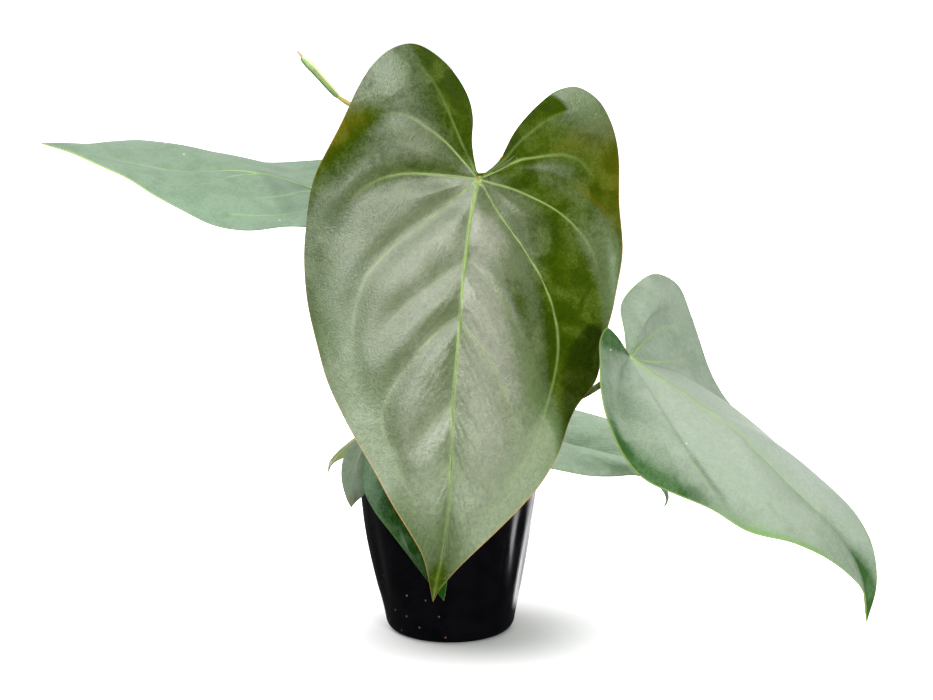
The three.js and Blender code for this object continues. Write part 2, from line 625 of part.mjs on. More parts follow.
function buildPlant() {
  const plant = new THREE.Group();
  const stemClear = toSolid(stemGeometry(SEAT_GAP));
  plant.add(
    meshOf("pot", makePot(), { color: 0x08080b, roughness: 0.25, metalness: 0 }),
    meshOf("potting_mix", makeMix(stemClear), { color: 0x4a3426, roughness: 0.95, metalness: 0 }),
    meshOf("stem", stemGeometry(0), { color: 0x6b5a34, roughness: 0.8, metalness: 0 }),
  );
  for (const leaf of LEAVES) {
    const bladeClear = toSolid(bladeGeometry(leaf, SEAT_GAP));
    const stalk = toSolid(stalkGeometry([...leaf.stalk, underJunction(leaf)], leaf.stalkRadius));
    const seated = toGeometry(stalk.subtract(stemClear).subtract(bladeClear));
    plant.add(
      meshOf(`${leaf.name}_blade`, bladeGeometry(leaf, 0), leafLook(leaf.colour)),
      meshOf(`${leaf.name}_stalk`, seated, leafLook(STALK_GREEN)),
    );
  }
  const rolledStalk = toSolid(stalkGeometry(ROLLED.stalk, ROLLED.stalkRadius))
    .subtract(stemClear)
    .subtract(toSolid(rolledBladeGeometry(SEAT_GAP)));
  plant.add(
    meshOf("rolled_blade", rolledBladeGeometry(0), leafLook(LIGHT_GREEN)),
    meshOf("rolled_stalk", toGeometry(rolledStalk), leafLook(YOUNG_STALK)),
  );
  return plant;
}

const group = buildPlant();

export default group;
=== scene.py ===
"""Looks of a potted anthurium hybrid: large velvety heart-shaped leaves over a soft black nursery pot.

Sizes and places are in millimetres in the row frame, and become metres where a mesh is made. The
big front leaf faces -Y, and +Z is up. A place on a blade is given by its share, which runs along
the margin from the bottom of the notch (0) to the tip (1), and by how far out it lies, from the
junction or the midrib (0) to the margin (1).
"""

import logging
import math
from dataclasses import dataclass
from enum import Enum
from functools import cache
from typing import Any, Callable, Optional, Sequence

import bpy
import numpy as np
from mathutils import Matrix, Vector, noise


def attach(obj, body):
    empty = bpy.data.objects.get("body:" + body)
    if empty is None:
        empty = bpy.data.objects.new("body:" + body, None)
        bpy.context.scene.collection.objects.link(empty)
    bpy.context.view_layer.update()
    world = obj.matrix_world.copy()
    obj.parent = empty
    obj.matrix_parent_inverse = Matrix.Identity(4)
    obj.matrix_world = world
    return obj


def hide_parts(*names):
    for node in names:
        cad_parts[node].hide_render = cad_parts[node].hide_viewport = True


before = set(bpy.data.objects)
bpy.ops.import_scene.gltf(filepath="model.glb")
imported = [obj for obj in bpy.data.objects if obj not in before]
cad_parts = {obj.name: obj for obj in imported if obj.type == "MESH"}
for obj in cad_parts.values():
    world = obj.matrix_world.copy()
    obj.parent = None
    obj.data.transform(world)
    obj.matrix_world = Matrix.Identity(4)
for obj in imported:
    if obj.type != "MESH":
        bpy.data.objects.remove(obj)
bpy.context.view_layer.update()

LOG = logging.getLogger("anthurium")
MM = 0.001
ROOT = "root"
WELD = 2e-6
SEAM_WELD = 4e-5
FULL_TURN = 2 * math.pi

Colour = tuple[float, float, float]
Point = tuple[float, float, float]
Points = Sequence[Sequence[float]]
Array = np.ndarray
Piece = bpy.types.Object
Material = bpy.types.Material
Tree = bpy.types.NodeTree
Node = bpy.types.Node
Socket = bpy.types.NodeSocket


# Modelling helpers

def make_active(piece: Piece) -> None:
    """Selects one piece and nothing else.

    Args:
        piece: The object.
    """
    bpy.ops.object.select_all(action="DESELECT")
    piece.select_set(True)
    bpy.context.view_layer.objects.active = piece


def added(primitive: Callable[..., object], **settings: object) -> Piece:
    """Adds a primitive with nothing else selected.

    Args:
        primitive: The operator that adds it.
        settings: The operator's settings.

    Returns:
        The new object.
    """
    bpy.ops.object.select_all(action="DESELECT")
    primitive(**settings)
    return bpy.context.active_object


def edit(piece: Piece, operator: Callable[..., object], **settings: object) -> None:
    """Runs an edit mode operator on the whole of a piece.

    Args:
        piece: The mesh object.
        operator: The operator.
        settings: The operator's settings.
    """
    make_active(piece)
    bpy.ops.object.mode_set(mode="EDIT")
    bpy.ops.mesh.select_all(action="SELECT")
    operator(**settings)
    bpy.ops.object.mode_set(mode="OBJECT")


def weld(piece: Piece, distance: float = WELD) -> None:
    """Merges the vertices of a piece that lie within a distance in metres."""
    edit(piece, bpy.ops.mesh.remove_doubles, threshold=distance)


def smooth(piece: Piece, angle: float) -> None:
    """Shades a piece smooth, apart from edges sharper than an angle in degrees."""
    make_active(piece)
    bpy.ops.object.shade_smooth_by_angle(angle=math.radians(angle))


def thicken(piece: Piece, thickness: float, offset: float = 0.0, back: int = 0) -> None:
    """Makes a thin solid of a sheet.

    Args:
        piece: The sheet.
        thickness: Its thickness in millimetres.
        offset: Where it grows: 0 is both ways, and -1 is behind its faces.
        back: How many material slots its back lies after its front.
    """
    shell = piece.modifiers.new("skin", "SOLIDIFY")
    shell.thickness = thickness * MM
    shell.offset = offset
    shell.material_offset = back
    make_active(piece)
    bpy.ops.object.modifier_apply(modifier=shell.name)


def join(pieces: Sequence[Piece], name: str) -> Piece:
    """Joins several objects into the first one.

    Args:
        pieces: The mesh objects.
        name: The name of the joined piece.

    Returns:
        The joined piece.
    """
    make_active(pieces[0])
    for piece in pieces:
        piece.select_set(True)
    bpy.ops.object.join()
    pieces[0].name = name
    return pieces[0]


def add_sheet(name: str, points: Array, **marks: Array) -> Piece:
    """Adds a grid primitive and moves its vertices to a grid of points.

    Args:
        name: The name of the new object.
        points: Places in millimetres, rows by columns by 3.
        marks: Values for each point, rows by columns, stored as attributes by name.

    Returns:
        The shaped sheet, with a UV map that runs along its rows and columns.
    """
    rows, columns = points.shape[:2]
    sheet = added(
        bpy.ops.mesh.primitive_grid_add, x_subdivisions=rows - 1, y_subdivisions=columns - 1, size=2.0
    )
    sheet.name = name
    flat = np.empty(len(sheet.data.vertices) * 3)
    sheet.data.vertices.foreach_get("co", flat)
    place = (flat.reshape(-1, 3) + 1.0) / 2.0
    row = np.rint(place[:, 0] * (rows - 1)).astype(int)
    column = np.rint(place[:, 1] * (columns - 1)).astype(int)
    sheet.data.vertices.foreach_set("co", (points[row, column] * MM).ravel())
    for label, values in marks.items():
        attribute = sheet.data.attributes.new(label, "FLOAT", "POINT")
        attribute.data.foreach_set("value", values[row, column].astype(np.float32))
    return sheet


def add_closed(name: str, points: Array, **marks: Array) -> Piece:
    """Adds a sheet whose edges meet, welded shut and facing outwards.

    Args:
        name: The name of the new object.
        points: Places in millimetres, rows by columns by 3.
        marks: Values for each point, stored as attributes by name.

    Returns:
        The closed piece.
    """
    closed = add_sheet(name, points, **marks)
    weld(closed)
    edit(closed, bpy.ops.mesh.normals_make_consistent, inside=False)
    return closed


def unit(vectors: Array) -> Array:
    """Vectors of length 1 along the given ones."""
    return vectors / np.maximum(np.linalg.norm(vectors, axis=-1, keepdims=True), 1e-9)


def ease(values: Array | float, low: Array | float, high: Array | float) -> Array | float:
    """A smooth step from 0 at low to 1 at high."""
    share = np.clip((values - low) / (high - low), 0.0, 1.0)
    return share * share * (3.0 - 2.0 * share)


def line_through(pairs: Points, x: Array | float) -> Array | float:
    """The value at x of a line drawn through [x, value] pairs."""
    return np.interp(x, [pair[0] for pair in pairs], [pair[1] for pair in pairs])


def around(radius: Array, angle: Array, z: Array) -> Array:
    """Points at a radius and an angle round the upright axis, at a height."""
    return np.stack([radius * np.cos(angle), radius * np.sin(angle), z], -1)


class Path:
    """A smooth curve through points, read at shares of its length."""

    SAMPLES = 40

    def __init__(self, points: Points) -> None:
        """Samples a centripetal curve through the points.

        Args:
            points: The points that it passes through, in any number of dimensions.
        """
        knots = np.asarray(points, float)
        padded = np.vstack([2 * knots[0] - knots[1], knots, 2 * knots[-1] - knots[-2]])
        pieces = [self._piece(*padded[k : k + 4]) for k in range(len(knots) - 1)]
        self.line = np.vstack(pieces + [knots[-1:]])
        steps = np.linalg.norm(np.diff(self.line, axis=0), axis=1)
        self.marks = np.concatenate([[0.0], np.cumsum(steps)])
        self.length = self.marks[-1]

    def _piece(self, before: Array, start: Array, end: Array, after: Array) -> Array:
        """One stretch of the curve.

        Args:
            before: The knot before the stretch.
            start: The knot where it starts.
            end: The knot where it ends.
            after: The knot after it.

        Returns:
            Its samples from start up to, but not with, end.
        """
        pairs = ((before, start), (start, end), (end, after))
        gaps = [max(float(np.sum((b - a) ** 2)), 1e-9) ** 0.25 for a, b in pairs]
        leave = (start - before) / gaps[0] - (end - before) / (gaps[0] + gaps[1]) + (end - start) / gaps[1]
        arrive = (end - start) / gaps[1] - (after - start) / (gaps[1] + gaps[2]) + (after - end) / gaps[2]
        leave, arrive = leave * gaps[1], arrive * gaps[1]
        t = (np.arange(self.SAMPLES) / self.SAMPLES)[:, None]
        square = -3 * start + 3 * end - 2 * leave - arrive
        cube = 2 * start - 2 * end + leave + arrive
        return start + leave * t + square * t**2 + cube * t**3

    def at(self, share: Array | float) -> Array:
        """The points at shares of the curve's length."""
        along = np.asarray(share, float) * self.length
        return np.stack([np.interp(along, self.marks, axis) for axis in self.line.T], -1)


def distance_to(points: Array, line: Array) -> tuple[Array, Array]:
    """How far each point lies from a line of straight stretches.

    Args:
        points: Places, any shape by 3.
        line: The line's corners, count by 3.

    Returns:
        The distances, and the share of the line's corners at which each is measured.
    """
    nearest = np.full(points.shape[:-1], np.inf)
    where = np.zeros(points.shape[:-1])
    for k, (start, end) in enumerate(zip(line[:-1], line[1:])):
        run = end - start
        share = np.clip((points - start) @ run / max(run @ run, 1e-12), 0.0, 1.0)
        away = np.linalg.norm(points - start - share[..., None] * run, axis=-1)
        closer = away < nearest
        nearest = np.where(closer, away, nearest)
        where = np.where(closer, (k + share) / (len(line) - 1), where)
    return nearest, where


def tube_grid(path: Array, radii: Array, sides: int) -> Array:
    """Rings of points round a path, closed at both ends.

    Args:
        path: The centreline, count by 3.
        radii: The radius at each of its points.
        sides: How many points a ring has.

    Returns:
        A grid of points whose last column repeats the first one.
    """
    tangent = unit(np.gradient(path, axis=0))
    across = np.zeros_like(path)
    across[0] = unit(np.cross(tangent[0], (0.3, 1.0, 0.2)))
    for k in range(1, len(path)):
        across[k] = unit(across[k - 1] - (across[k - 1] @ tangent[k]) * tangent[k])
    other = np.cross(tangent, across)
    angles = np.linspace(0.0, FULL_TURN, sides + 1)[None, :, None]
    ring = across[:, None] * np.cos(angles) + other[:, None] * np.sin(angles)
    grid = path[:, None] + ring * radii[:, None, None]
    ends = [np.repeat(path[[k], None], sides + 1, axis=1) for k in (0, -1)]
    return np.concatenate([ends[0], grid, ends[1]])


def add_tube(name: str, path: Array, radii: Array, sides: int = 16) -> Piece:
    """Adds a closed, smooth tube along a path.

    Args:
        name: The name of the new object.
        path: The centreline in millimetres.
        radii: The radius at each of its points, in millimetres.
        sides: How many sides the tube has.

    Returns:
        The tube.
    """
    grid = tube_grid(path, radii, sides)
    along = np.linspace(0.0, 1.0, len(grid))[:, None] * np.ones((1, sides + 1))
    tube = add_closed(name, grid, along=along)
    smooth(tube, 60.0)
    return tube


def take_place(piece: Piece, slot: str, *nodes: str) -> None:
    """Lets a finished piece ride on the plant and stand for CAD nodes.

    Args:
        piece: The finished piece.
        slot: A material slot's name in the record; not used.
        nodes: The CAD nodes that it replaces.
    """
    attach(piece, ROOT)
    if nodes:
        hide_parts(*nodes)
    LOG.info("%s: %d triangles", piece.name, sum(len(face.vertices) - 2 for face in piece.data.polygons))


# Shader helpers

class Graph:
    """A node tree that is being wired, of a material, a world or a group."""

    def __init__(self, tree: Tree) -> None:
        """Starts on a tree, with its nodes removed."""
        tree.nodes.clear()
        self.tree = tree

    def add(self, kind: str, **settings: object) -> Node:
        """Adds a node.

        Args:
            kind: Its type.
            settings: Its properties.

        Returns:
            The node.
        """
        node = self.tree.nodes.new(kind)
        for label, value in settings.items():
            setattr(node, label, value)
        return node

    def feed(self, socket: Socket, value: object) -> None:
        """Links a socket to an output, or sets its own value.

        Args:
            socket: The input socket.
            value: An output socket, a number, a vector or a colour.
        """
        if isinstance(value, Socket):
            self.tree.links.new(value, socket)
        elif isinstance(value, tuple) and len(value) == 3 and socket.type == "RGBA":
            socket.default_value = (*value, 1.0)
        else:
            socket.default_value = value

    def wired(self, kind: str, *values: object, **settings: object) -> Socket:
        """Adds a node and feeds its first inputs.

        Args:
            kind: Its type.
            values: What its inputs take, in their order.
            settings: Its properties.

        Returns:
            The node's first output.
        """
        node = self.add(kind, **settings)
        for socket, value in zip(node.inputs, values):
            self.feed(socket, value)
        return node.outputs[0]

    def math(self, operation: str, first: object, second: object = 0.0) -> Socket:
        """The result of a Math node."""
        return self.wired("ShaderNodeMath", first, second, operation=operation)

    def times(self, first: object, second: object) -> Socket:
        """The product of two values."""
        return self.math("MULTIPLY", first, second)

    def plus(self, first: object, second: object) -> Socket:
        """The sum of two values."""
        return self.math("ADD", first, second)

    def spread(
        self, value: object, low: float, high: object, to_low: float = 0.0, to_high: float = 1.0
    ) -> Socket:
        """A value carried smoothly from one range to another, and held at its ends."""
        limits = (low, high, to_low, to_high)
        return self.wired("ShaderNodeMapRange", value, *limits, interpolation_type="SMOOTHSTEP")

    def mix(self, factor: object, first: object, second: object, blend: str = "MIX") -> Socket:
        """Mixes two colours.

        Args:
            factor: The second colour's share.
            first: The first colour.
            second: The second colour.
            blend: How they mix.

        Returns:
            The mixed colour.
        """
        node = self.add("ShaderNodeMix", data_type="RGBA", blend_type=blend)
        for number, value in ((0, factor), (6, first), (7, second)):
            self.feed(node.inputs[number], value)
        return node.outputs[2]

    def noise(self, place: object, scale: object, detail: float, twist: float) -> Socket:
        """The value of a Noise Texture.

        Args:
            place: Where it is read.
            scale: How fine it is.
            detail: How many finer layers it has.
            twist: How much it is distorted.

        Returns:
            The value.
        """
        node = self.add("ShaderNodeTexNoise")
        for label, value in (("Vector", place), ("Scale", scale), ("Detail", detail), ("Distortion", twist)):
            self.feed(node.inputs[label], value)
        return node.outputs[0]

    def mark(self, label: str) -> Socket:
        """The value of one of the piece's own attributes."""
        return self.add("ShaderNodeAttribute", attribute_name=label).outputs["Fac"]

    def axes(self, place: Socket) -> Sequence[Socket]:
        """The x, y and z of a place."""
        return self.wired("ShaderNodeSeparateXYZ", place).node.outputs

    def group(self, tree: Tree, **inputs: object) -> Sequence[Socket]:
        """Adds a shared group.

        Args:
            tree: The group's tree.
            inputs: What its inputs take, by name.

        Returns:
            The group's outputs.
        """
        node = self.add("ShaderNodeGroup", node_tree=tree)
        for label, value in inputs.items():
            self.feed(node.inputs[label], value)
        return node.outputs

    def bump(self, height: object, depth_mm: float, normal: Optional[Socket] = None) -> Socket:
        """Bumps the surface.

        Args:
            height: A value of 0 to 1.
            depth_mm: The depth in millimetres that a height of 1 stands for.
            normal: The normal that it starts from.

        Returns:
            The bumped normal.
        """
        node = self.add("ShaderNodeBump")
        node.inputs["Strength"].default_value = 1.0
        node.inputs["Distance"].default_value = depth_mm * MM
        self.feed(node.inputs["Height"], height)
        if normal is not None:
            self.feed(node.inputs["Normal"], normal)
        return node.outputs[0]


def new_group(name: str, numbers: dict[str, float], outputs: Sequence[str]) -> tuple:
    """Starts a shader node group that takes a Vector and some numbers, and gives out numbers.

    Args:
        name: The group's name.
        numbers: The inputs after Vector, with their first values.
        outputs: The outputs' names.

    Returns:
        The group's tree, its graph, what it is given and what it gives out.
    """
    tree = bpy.data.node_groups.new(name, "ShaderNodeTree")
    tree.interface.new_socket("Vector", in_out="INPUT", socket_type="NodeSocketVector")
    for label, value in numbers.items():
        socket = tree.interface.new_socket(label, in_out="INPUT", socket_type="NodeSocketFloat")
        socket.default_value = value
    for label in outputs:
        tree.interface.new_socket(label, in_out="OUTPUT", socket_type="NodeSocketFloat")
    graph = Graph(tree)
    return tree, graph, graph.add("NodeGroupInput").outputs, graph.add("NodeGroupOutput").inputs


@cache
def felt_group() -> Tree:
    """Fine crumpled grain, as on velvety leaf skin: a tone, and a height round 0.5.

    Returns:
        The group's tree.
    """
    tree, graph, given, out = new_group("felt_grain", {"Scale": 700.0}, ("Tone", "Height"))
    fine = graph.noise(given["Vector"], given["Scale"], 2.0, 1.6)
    wide = graph.noise(given["Vector"], graph.times(given["Scale"], 0.31), 3.0, 2.2)
    both = graph.plus(graph.times(fine, 0.6), graph.times(wide, 0.4))
    graph.feed(out["Tone"], graph.spread(both, 0.38, 0.62))
    graph.feed(out["Height"], both)
    return tree


@cache
def mottle_group() -> Tree:
    """Broad soft patches from 0 to 1.

    Returns:
        The group's tree.
    """
    tree, graph, given, out = new_group("soft_mottle", {"Scale": 30.0}, ("Mask",))
    patches = graph.noise(given["Vector"], given["Scale"], 4.0, 0.6)
    graph.feed(out["Mask"], graph.spread(patches, 0.36, 0.64))
    return tree


@cache
def net_group() -> Tree:
    """The fine net of small veins: 1 on a vein, 0 in a mesh.

    Returns:
        The group's tree.
    """
    tree, graph, given, out = new_group("vein_net", {"Scale": 150.0, "Width": 0.06}, ("Mask",))
    cloud = graph.add("ShaderNodeTexNoise")
    graph.feed(cloud.inputs["Vector"], given["Vector"])
    cloud.inputs["Scale"].default_value = 90.0
    bent = graph.wired("ShaderNodeVectorMath", cloud.outputs["Color"], (0.004, 0.004, 0.004),
                       given["Vector"], operation="MULTIPLY_ADD")
    cells = graph.add("ShaderNodeTexVoronoi", feature="DISTANCE_TO_EDGE")
    graph.feed(cells.inputs["Vector"], bent)
    graph.feed(cells.inputs["Scale"], given["Scale"])
    near = graph.math("DIVIDE", cells.outputs["Distance"], given["Width"])
    graph.feed(out["Mask"], graph.spread(near, 0.0, 1.0, 1.0, 0.0))
    return tree


@cache
def specks_group() -> Tree:
    """Scattered small spots: 1 on a spot. Amount is the share of cells that hold one.

    Returns:
        The group's tree.
    """
    numbers = {"Scale": 200.0, "Size": 0.2, "Amount": 0.1}
    tree, graph, given, out = new_group("scattered_specks", numbers, ("Mask",))
    cells = graph.add("ShaderNodeTexVoronoi", feature="F1")
    graph.feed(cells.inputs["Vector"], given["Vector"])
    graph.feed(cells.inputs["Scale"], given["Scale"])
    spot = graph.math("LESS_THAN", cells.outputs["Distance"], given["Size"])
    drawn = graph.wired("ShaderNodeSeparateColor", cells.outputs["Color"])
    graph.feed(out["Mask"], graph.times(spot, graph.math("LESS_THAN", drawn, given["Amount"])))
    return tree


class Skin(Graph):
    """The graph of a material that ends in a Principled BSDF."""

    def __init__(self, name: str) -> None:
        """Starts a material.

        Args:
            name: Its name.
        """
        self.material = bpy.data.materials.new(name)
        self.material.use_nodes = True
        super().__init__(self.material.node_tree)
        self.shader = self.add("ShaderNodeBsdfPrincipled")
        self.feed(self.add("ShaderNodeOutputMaterial").inputs["Surface"], self.shader.outputs["BSDF"])
        self.place = self.add("ShaderNodeTexCoord").outputs["Object"]

    def felt(self, scale: float, place: Optional[Socket] = None) -> Sequence[Socket]:
        """The tone and the height of the felt grain."""
        return self.group(felt_group(), Vector=self.place if place is None else place, Scale=scale)

    def mottle(self, scale: float) -> Socket:
        """The mask of the broad soft patches."""
        return self.group(mottle_group(), Vector=self.place, Scale=scale)["Mask"]

    def specks(self, scale: float, size: float, amount: float) -> Socket:
        """The mask of the scattered spots."""
        return self.group(specks_group(), Vector=self.place, Scale=scale, Size=size, Amount=amount)["Mask"]

    def dress(self, colour: object, roughness: object, normal: Optional[Socket] = None,
              more: Sequence[tuple[str, object]] = ()) -> Material:
        """Feeds the shader.

        Args:
            colour: The base colour.
            roughness: The roughness.
            normal: The bumped normal.
            more: Other inputs by name, and what they take.

        Returns:
            The material.
        """
        for label, value in (("Base Color", colour), ("Roughness", roughness), *more):
            self.feed(self.shader.inputs[label], value)
        if normal is not None:
            self.feed(self.shader.inputs["Normal"], normal)
        return self.material


# Leaf finishes

@dataclass(frozen=True)
class LeafFinish:
    """How a leaf looks: its colours in linear light, among them a painted grey sheen, and how felted and
    glossy its skin is.
    """

    name: str
    deep: Colour = (0.019, 0.036, 0.0006)
    light: Colour = (0.038, 0.061, 0.0016)
    # painted_sheen: the grey colour of a painted sheen that stands in for the lamps' reflection on the skin.
    painted_sheen: Colour = (0.072, 0.100, 0.033)
    # painted_strong_sheen: a brighter painted sheen where the sheen mask passes 1; outer tints the painted
    # sheen towards the margin and the tip.
    painted_strong_sheen: Colour = (0.172, 0.188, 0.128)
    outer: Colour = (0.86, 1.04, 0.80)
    vein: Colour = (0.19, 0.27, 0.08)
    rim: Colour = (0.36, 0.185, 0.045)
    # flush: a tan flush by the margin on some leaves, and dark green painted shade along the right leaf's
    # margin.
    flush: Colour = (0.095, 0.075, 0.003)
    under: Colour = (0.16, 0.25, 0.09)
    gloss: float = 1.0
    roughness: float = 0.42
    matt: float = 0.8
    bend: float = 1.5
    grain_mm: float = 0.42
    crease_mm: float = 0.22
    fuzz: float = 0.05
    speckle: float = 0.13
    dust: float = 0.0
    dust_tone: Colour = (0.42, 0.48, 0.40)

    def upper(self) -> Material:
        """The upper skin: felted, with a painted grey sheen in places and painted shade where the sheen is
        taken away, main veins and a tan margin.

        Returns:
            The material.
        """
        skin = Skin(self.name + "_upper")
        felt = skin.felt(520.0)
        patches = skin.mottle(55.0)
        wide = 1.6 * self.fuzz
        # painted_sheen_cover: where the painted sheen lies, high on the lit zones and low or below 0 where
        # shade is painted; it also sets the roughness and specular tint.
        painted_sheen_cover = skin.plus(skin.mark("painted_sheen"), skin.spread(patches, 0.0, 1.0, -wide, wide))
        painted_sheen_cover = skin.plus(painted_sheen_cover, skin.spread(felt["Tone"], 0.0, 1.0, -self.fuzz, self.fuzz))
        painted_sheen_clamped = skin.wired("ShaderNodeClamp", painted_sheen_cover)
        colour = skin.mix(painted_sheen_clamped, skin.mix(patches, self.deep, self.light), self.painted_sheen)
        # Painted light: where the mask passes 1 a stronger painted sheen is laid on, and the outer tint
        # shifts the painted sheen's colour.
        colour = skin.mix(skin.spread(painted_sheen_cover, 1.0, 2.0), colour, self.painted_strong_sheen)
        colour = skin.mix(skin.times(skin.mark("outwards"), painted_sheen_clamped), colour, self.outer, "MULTIPLY")
        grain = skin.spread(felt["Tone"], 0.0, 1.0, 1 - self.speckle, 1 + self.speckle)
        colour = skin.mix(1.0, colour, grain, "MULTIPLY")
        # flush paints a tan flush on the front leaf and the small leaf's tip, and dark green painted shade
        # along the right leaf's margin.
        flush = skin.times(skin.mark("flush"), skin.spread(patches, 0.0, 1.0, 0.6, 1.0))
        colour = skin.mix(flush, colour, self.flush)
        show = skin.mark("vein_show")
        soft = skin.spread(show, 0.2, 0.9, 1.6, 0.4)
        near_vein = skin.times(skin.spread(skin.mark("vein_mm"), -0.1, soft, 1.0, 0.0), show)
        colour = skin.mix(near_vein, colour, self.vein)
        if self.dust:
            colour = skin.mix(skin.specks(130.0, 0.11, self.dust), colour, self.dust_tone)
        rim = skin.times(skin.spread(skin.mark("edge_mm"), 0.3, 0.7, 1.0, 0.0), skin.mark("rim_show"))
        creases = skin.math("SINE", skin.plus(skin.mark("phase"), skin.times(patches, 3.0)))
        creased = skin.bump(skin.times(creases, skin.mark("crease")), self.crease_mm)
        return skin.dress(
            skin.mix(rim, colour, self.rim), skin.spread(painted_sheen_cover, 0.0, 0.7, self.matt, self.roughness),
            skin.bump(felt["Height"], self.grain_mm, creased),
            (("Specular Tint", skin.spread(painted_sheen_cover, 0.0, 0.85)), ("Specular IOR Level", self.gloss),
             ("IOR", self.bend)),
        )

    def lower(self) -> Material:
        """The underside: paler, duller, with a clear net of small veins.

        Returns:
            The material.
        """
        skin = Skin(self.name + "_under")
        felt = skin.felt(600.0)
        net = skin.group(net_group(), Vector=skin.place, Scale=120.0, Width=0.12)["Mask"]
        colour = skin.mix(skin.times(net, 0.4), self.under, self.vein)
        colour = skin.mix(1.0, colour, skin.spread(felt["Tone"], 0.0, 1.0, 0.86, 1.12), "MULTIPLY")
        colour = skin.mix(skin.mark("fold"), colour, self.light)
        rim = skin.spread(skin.mark("edge_mm"), 0.5, 1.1, 1.0, 0.0)
        normal = skin.bump(felt["Height"], 0.15, skin.bump(net, 0.25))
        return skin.dress(skin.mix(rim, colour, self.rim), 0.55, normal, (("Sheen Weight", 0.15),))

    def ribs(self) -> Material:
        """The main veins that stand proud of the skin.

        Returns:
            The material.
        """
        skin = Skin(self.name + "_veins")
        patches = skin.mottle(120.0)
        return skin.dress(skin.mix(patches, self.vein, tuple(0.72 * channel for channel in self.vein)), 0.42)


@dataclass(frozen=True)
class StalkFinish:
    """How a leaf stalk looks, in linear light."""

    name: str
    green: Colour = (0.095, 0.135, 0.025)
    shade: Colour = (0.055, 0.070, 0.014)
    knee: Colour = (0.22, 0.24, 0.06)
    foot: Colour = (0.12, 0.07, 0.025)

    def material(self, knee_share: float) -> Material:
        """A satin green skin with fine pale specks, a paler knee and a brownish foot.

        Args:
            knee_share: The share of the stalk's length at which the knee starts.

        Returns:
            The material.
        """
        skin = Skin(self.name)
        patches = skin.mottle(110.0)
        specks = skin.specks(900.0, 0.28, 0.3)
        colour = skin.mix(skin.times(specks, 0.4), skin.mix(patches, self.green, self.shade), self.knee)
        along = skin.mark("along")
        colour = skin.mix(skin.spread(along, knee_share - 0.03, knee_share + 0.03), colour, self.knee)
        colour = skin.mix(skin.spread(along, 0.03, 0.14, 0.8, 0.0), colour, self.foot)
        grain = skin.felt(500.0)["Height"]
        return skin.dress(colour, 0.38, skin.bump(grain, 0.12))


# Leaves

class Side(Enum):
    """A half of a blade, as seen from above its face with the tip down."""

    LEFT = 1
    RIGHT = -1

    def of(self, pair: Sequence[Any]) -> Any:
        """This half's one of a pair, of which the left half's comes first."""
        return pair[0 if self is Side.LEFT else 1]


BOTH = (Side.LEFT, Side.RIGHT)
LEFT_ONLY = (Side.LEFT,)
RIGHT_ONLY = (Side.RIGHT,)


@dataclass(frozen=True)
class Vein:
    """A main vein's course over a blade, how stout it is, and how clearly it shows.

    The stops are (out, share) pairs. The radii are those of a leaf as large as the front one.
    """

    stops: Points
    foot: float = 0.9
    end: float = 0.22
    show: tuple[float, float] = (0.9, 0.2)
    sides: tuple[Side, ...] = BOTH
    proud: float = 0.22
    sink: float = 1.0

    def shown(self, along: Array) -> Array:
        """How clearly the vein shows at shares of its length."""
        return self.show[0] + (self.show[1] - self.show[0]) * along


@dataclass(frozen=True)
class Patches:
    """Soft-edged patches on a blade, each as (out, share, reach in out, reach in share, level)."""

    left: Points = ()
    right: Points = ()

    def at(self, side: Side, out: Array, share: Array) -> Array:
        """The sum of one half's patches.

        Args:
            side: Which half.
            out: How far out the places lie.
            share: Their shares of the margin.

        Returns:
            The sum at each place.
        """
        total = np.zeros(np.broadcast(out, share).shape)
        for middle, row, wide, tall, level in side.of((self.left, self.right)):
            total += level * np.exp(-(((out - middle) / wide) ** 2 + ((share - row) / tall) ** 2))
        return total


SPINE_COURSE = ((0, 0.65), (0, 0.999))
MIDRIB = Vein(SPINE_COURSE, 1.9, 0.3, (1.0, 0.15), LEFT_ONLY, 0.45, 0.4)
FAINT_MIDRIB = Vein(SPINE_COURSE, 1.2, 0.3, (0.35, 0.0), LEFT_ONLY, 0.1, 0.4)
RIGHT_MIDRIB = Vein(SPINE_COURSE, 1.6, 0.3, (1.0, -0.25), LEFT_ONLY, 0.35, 0.4)
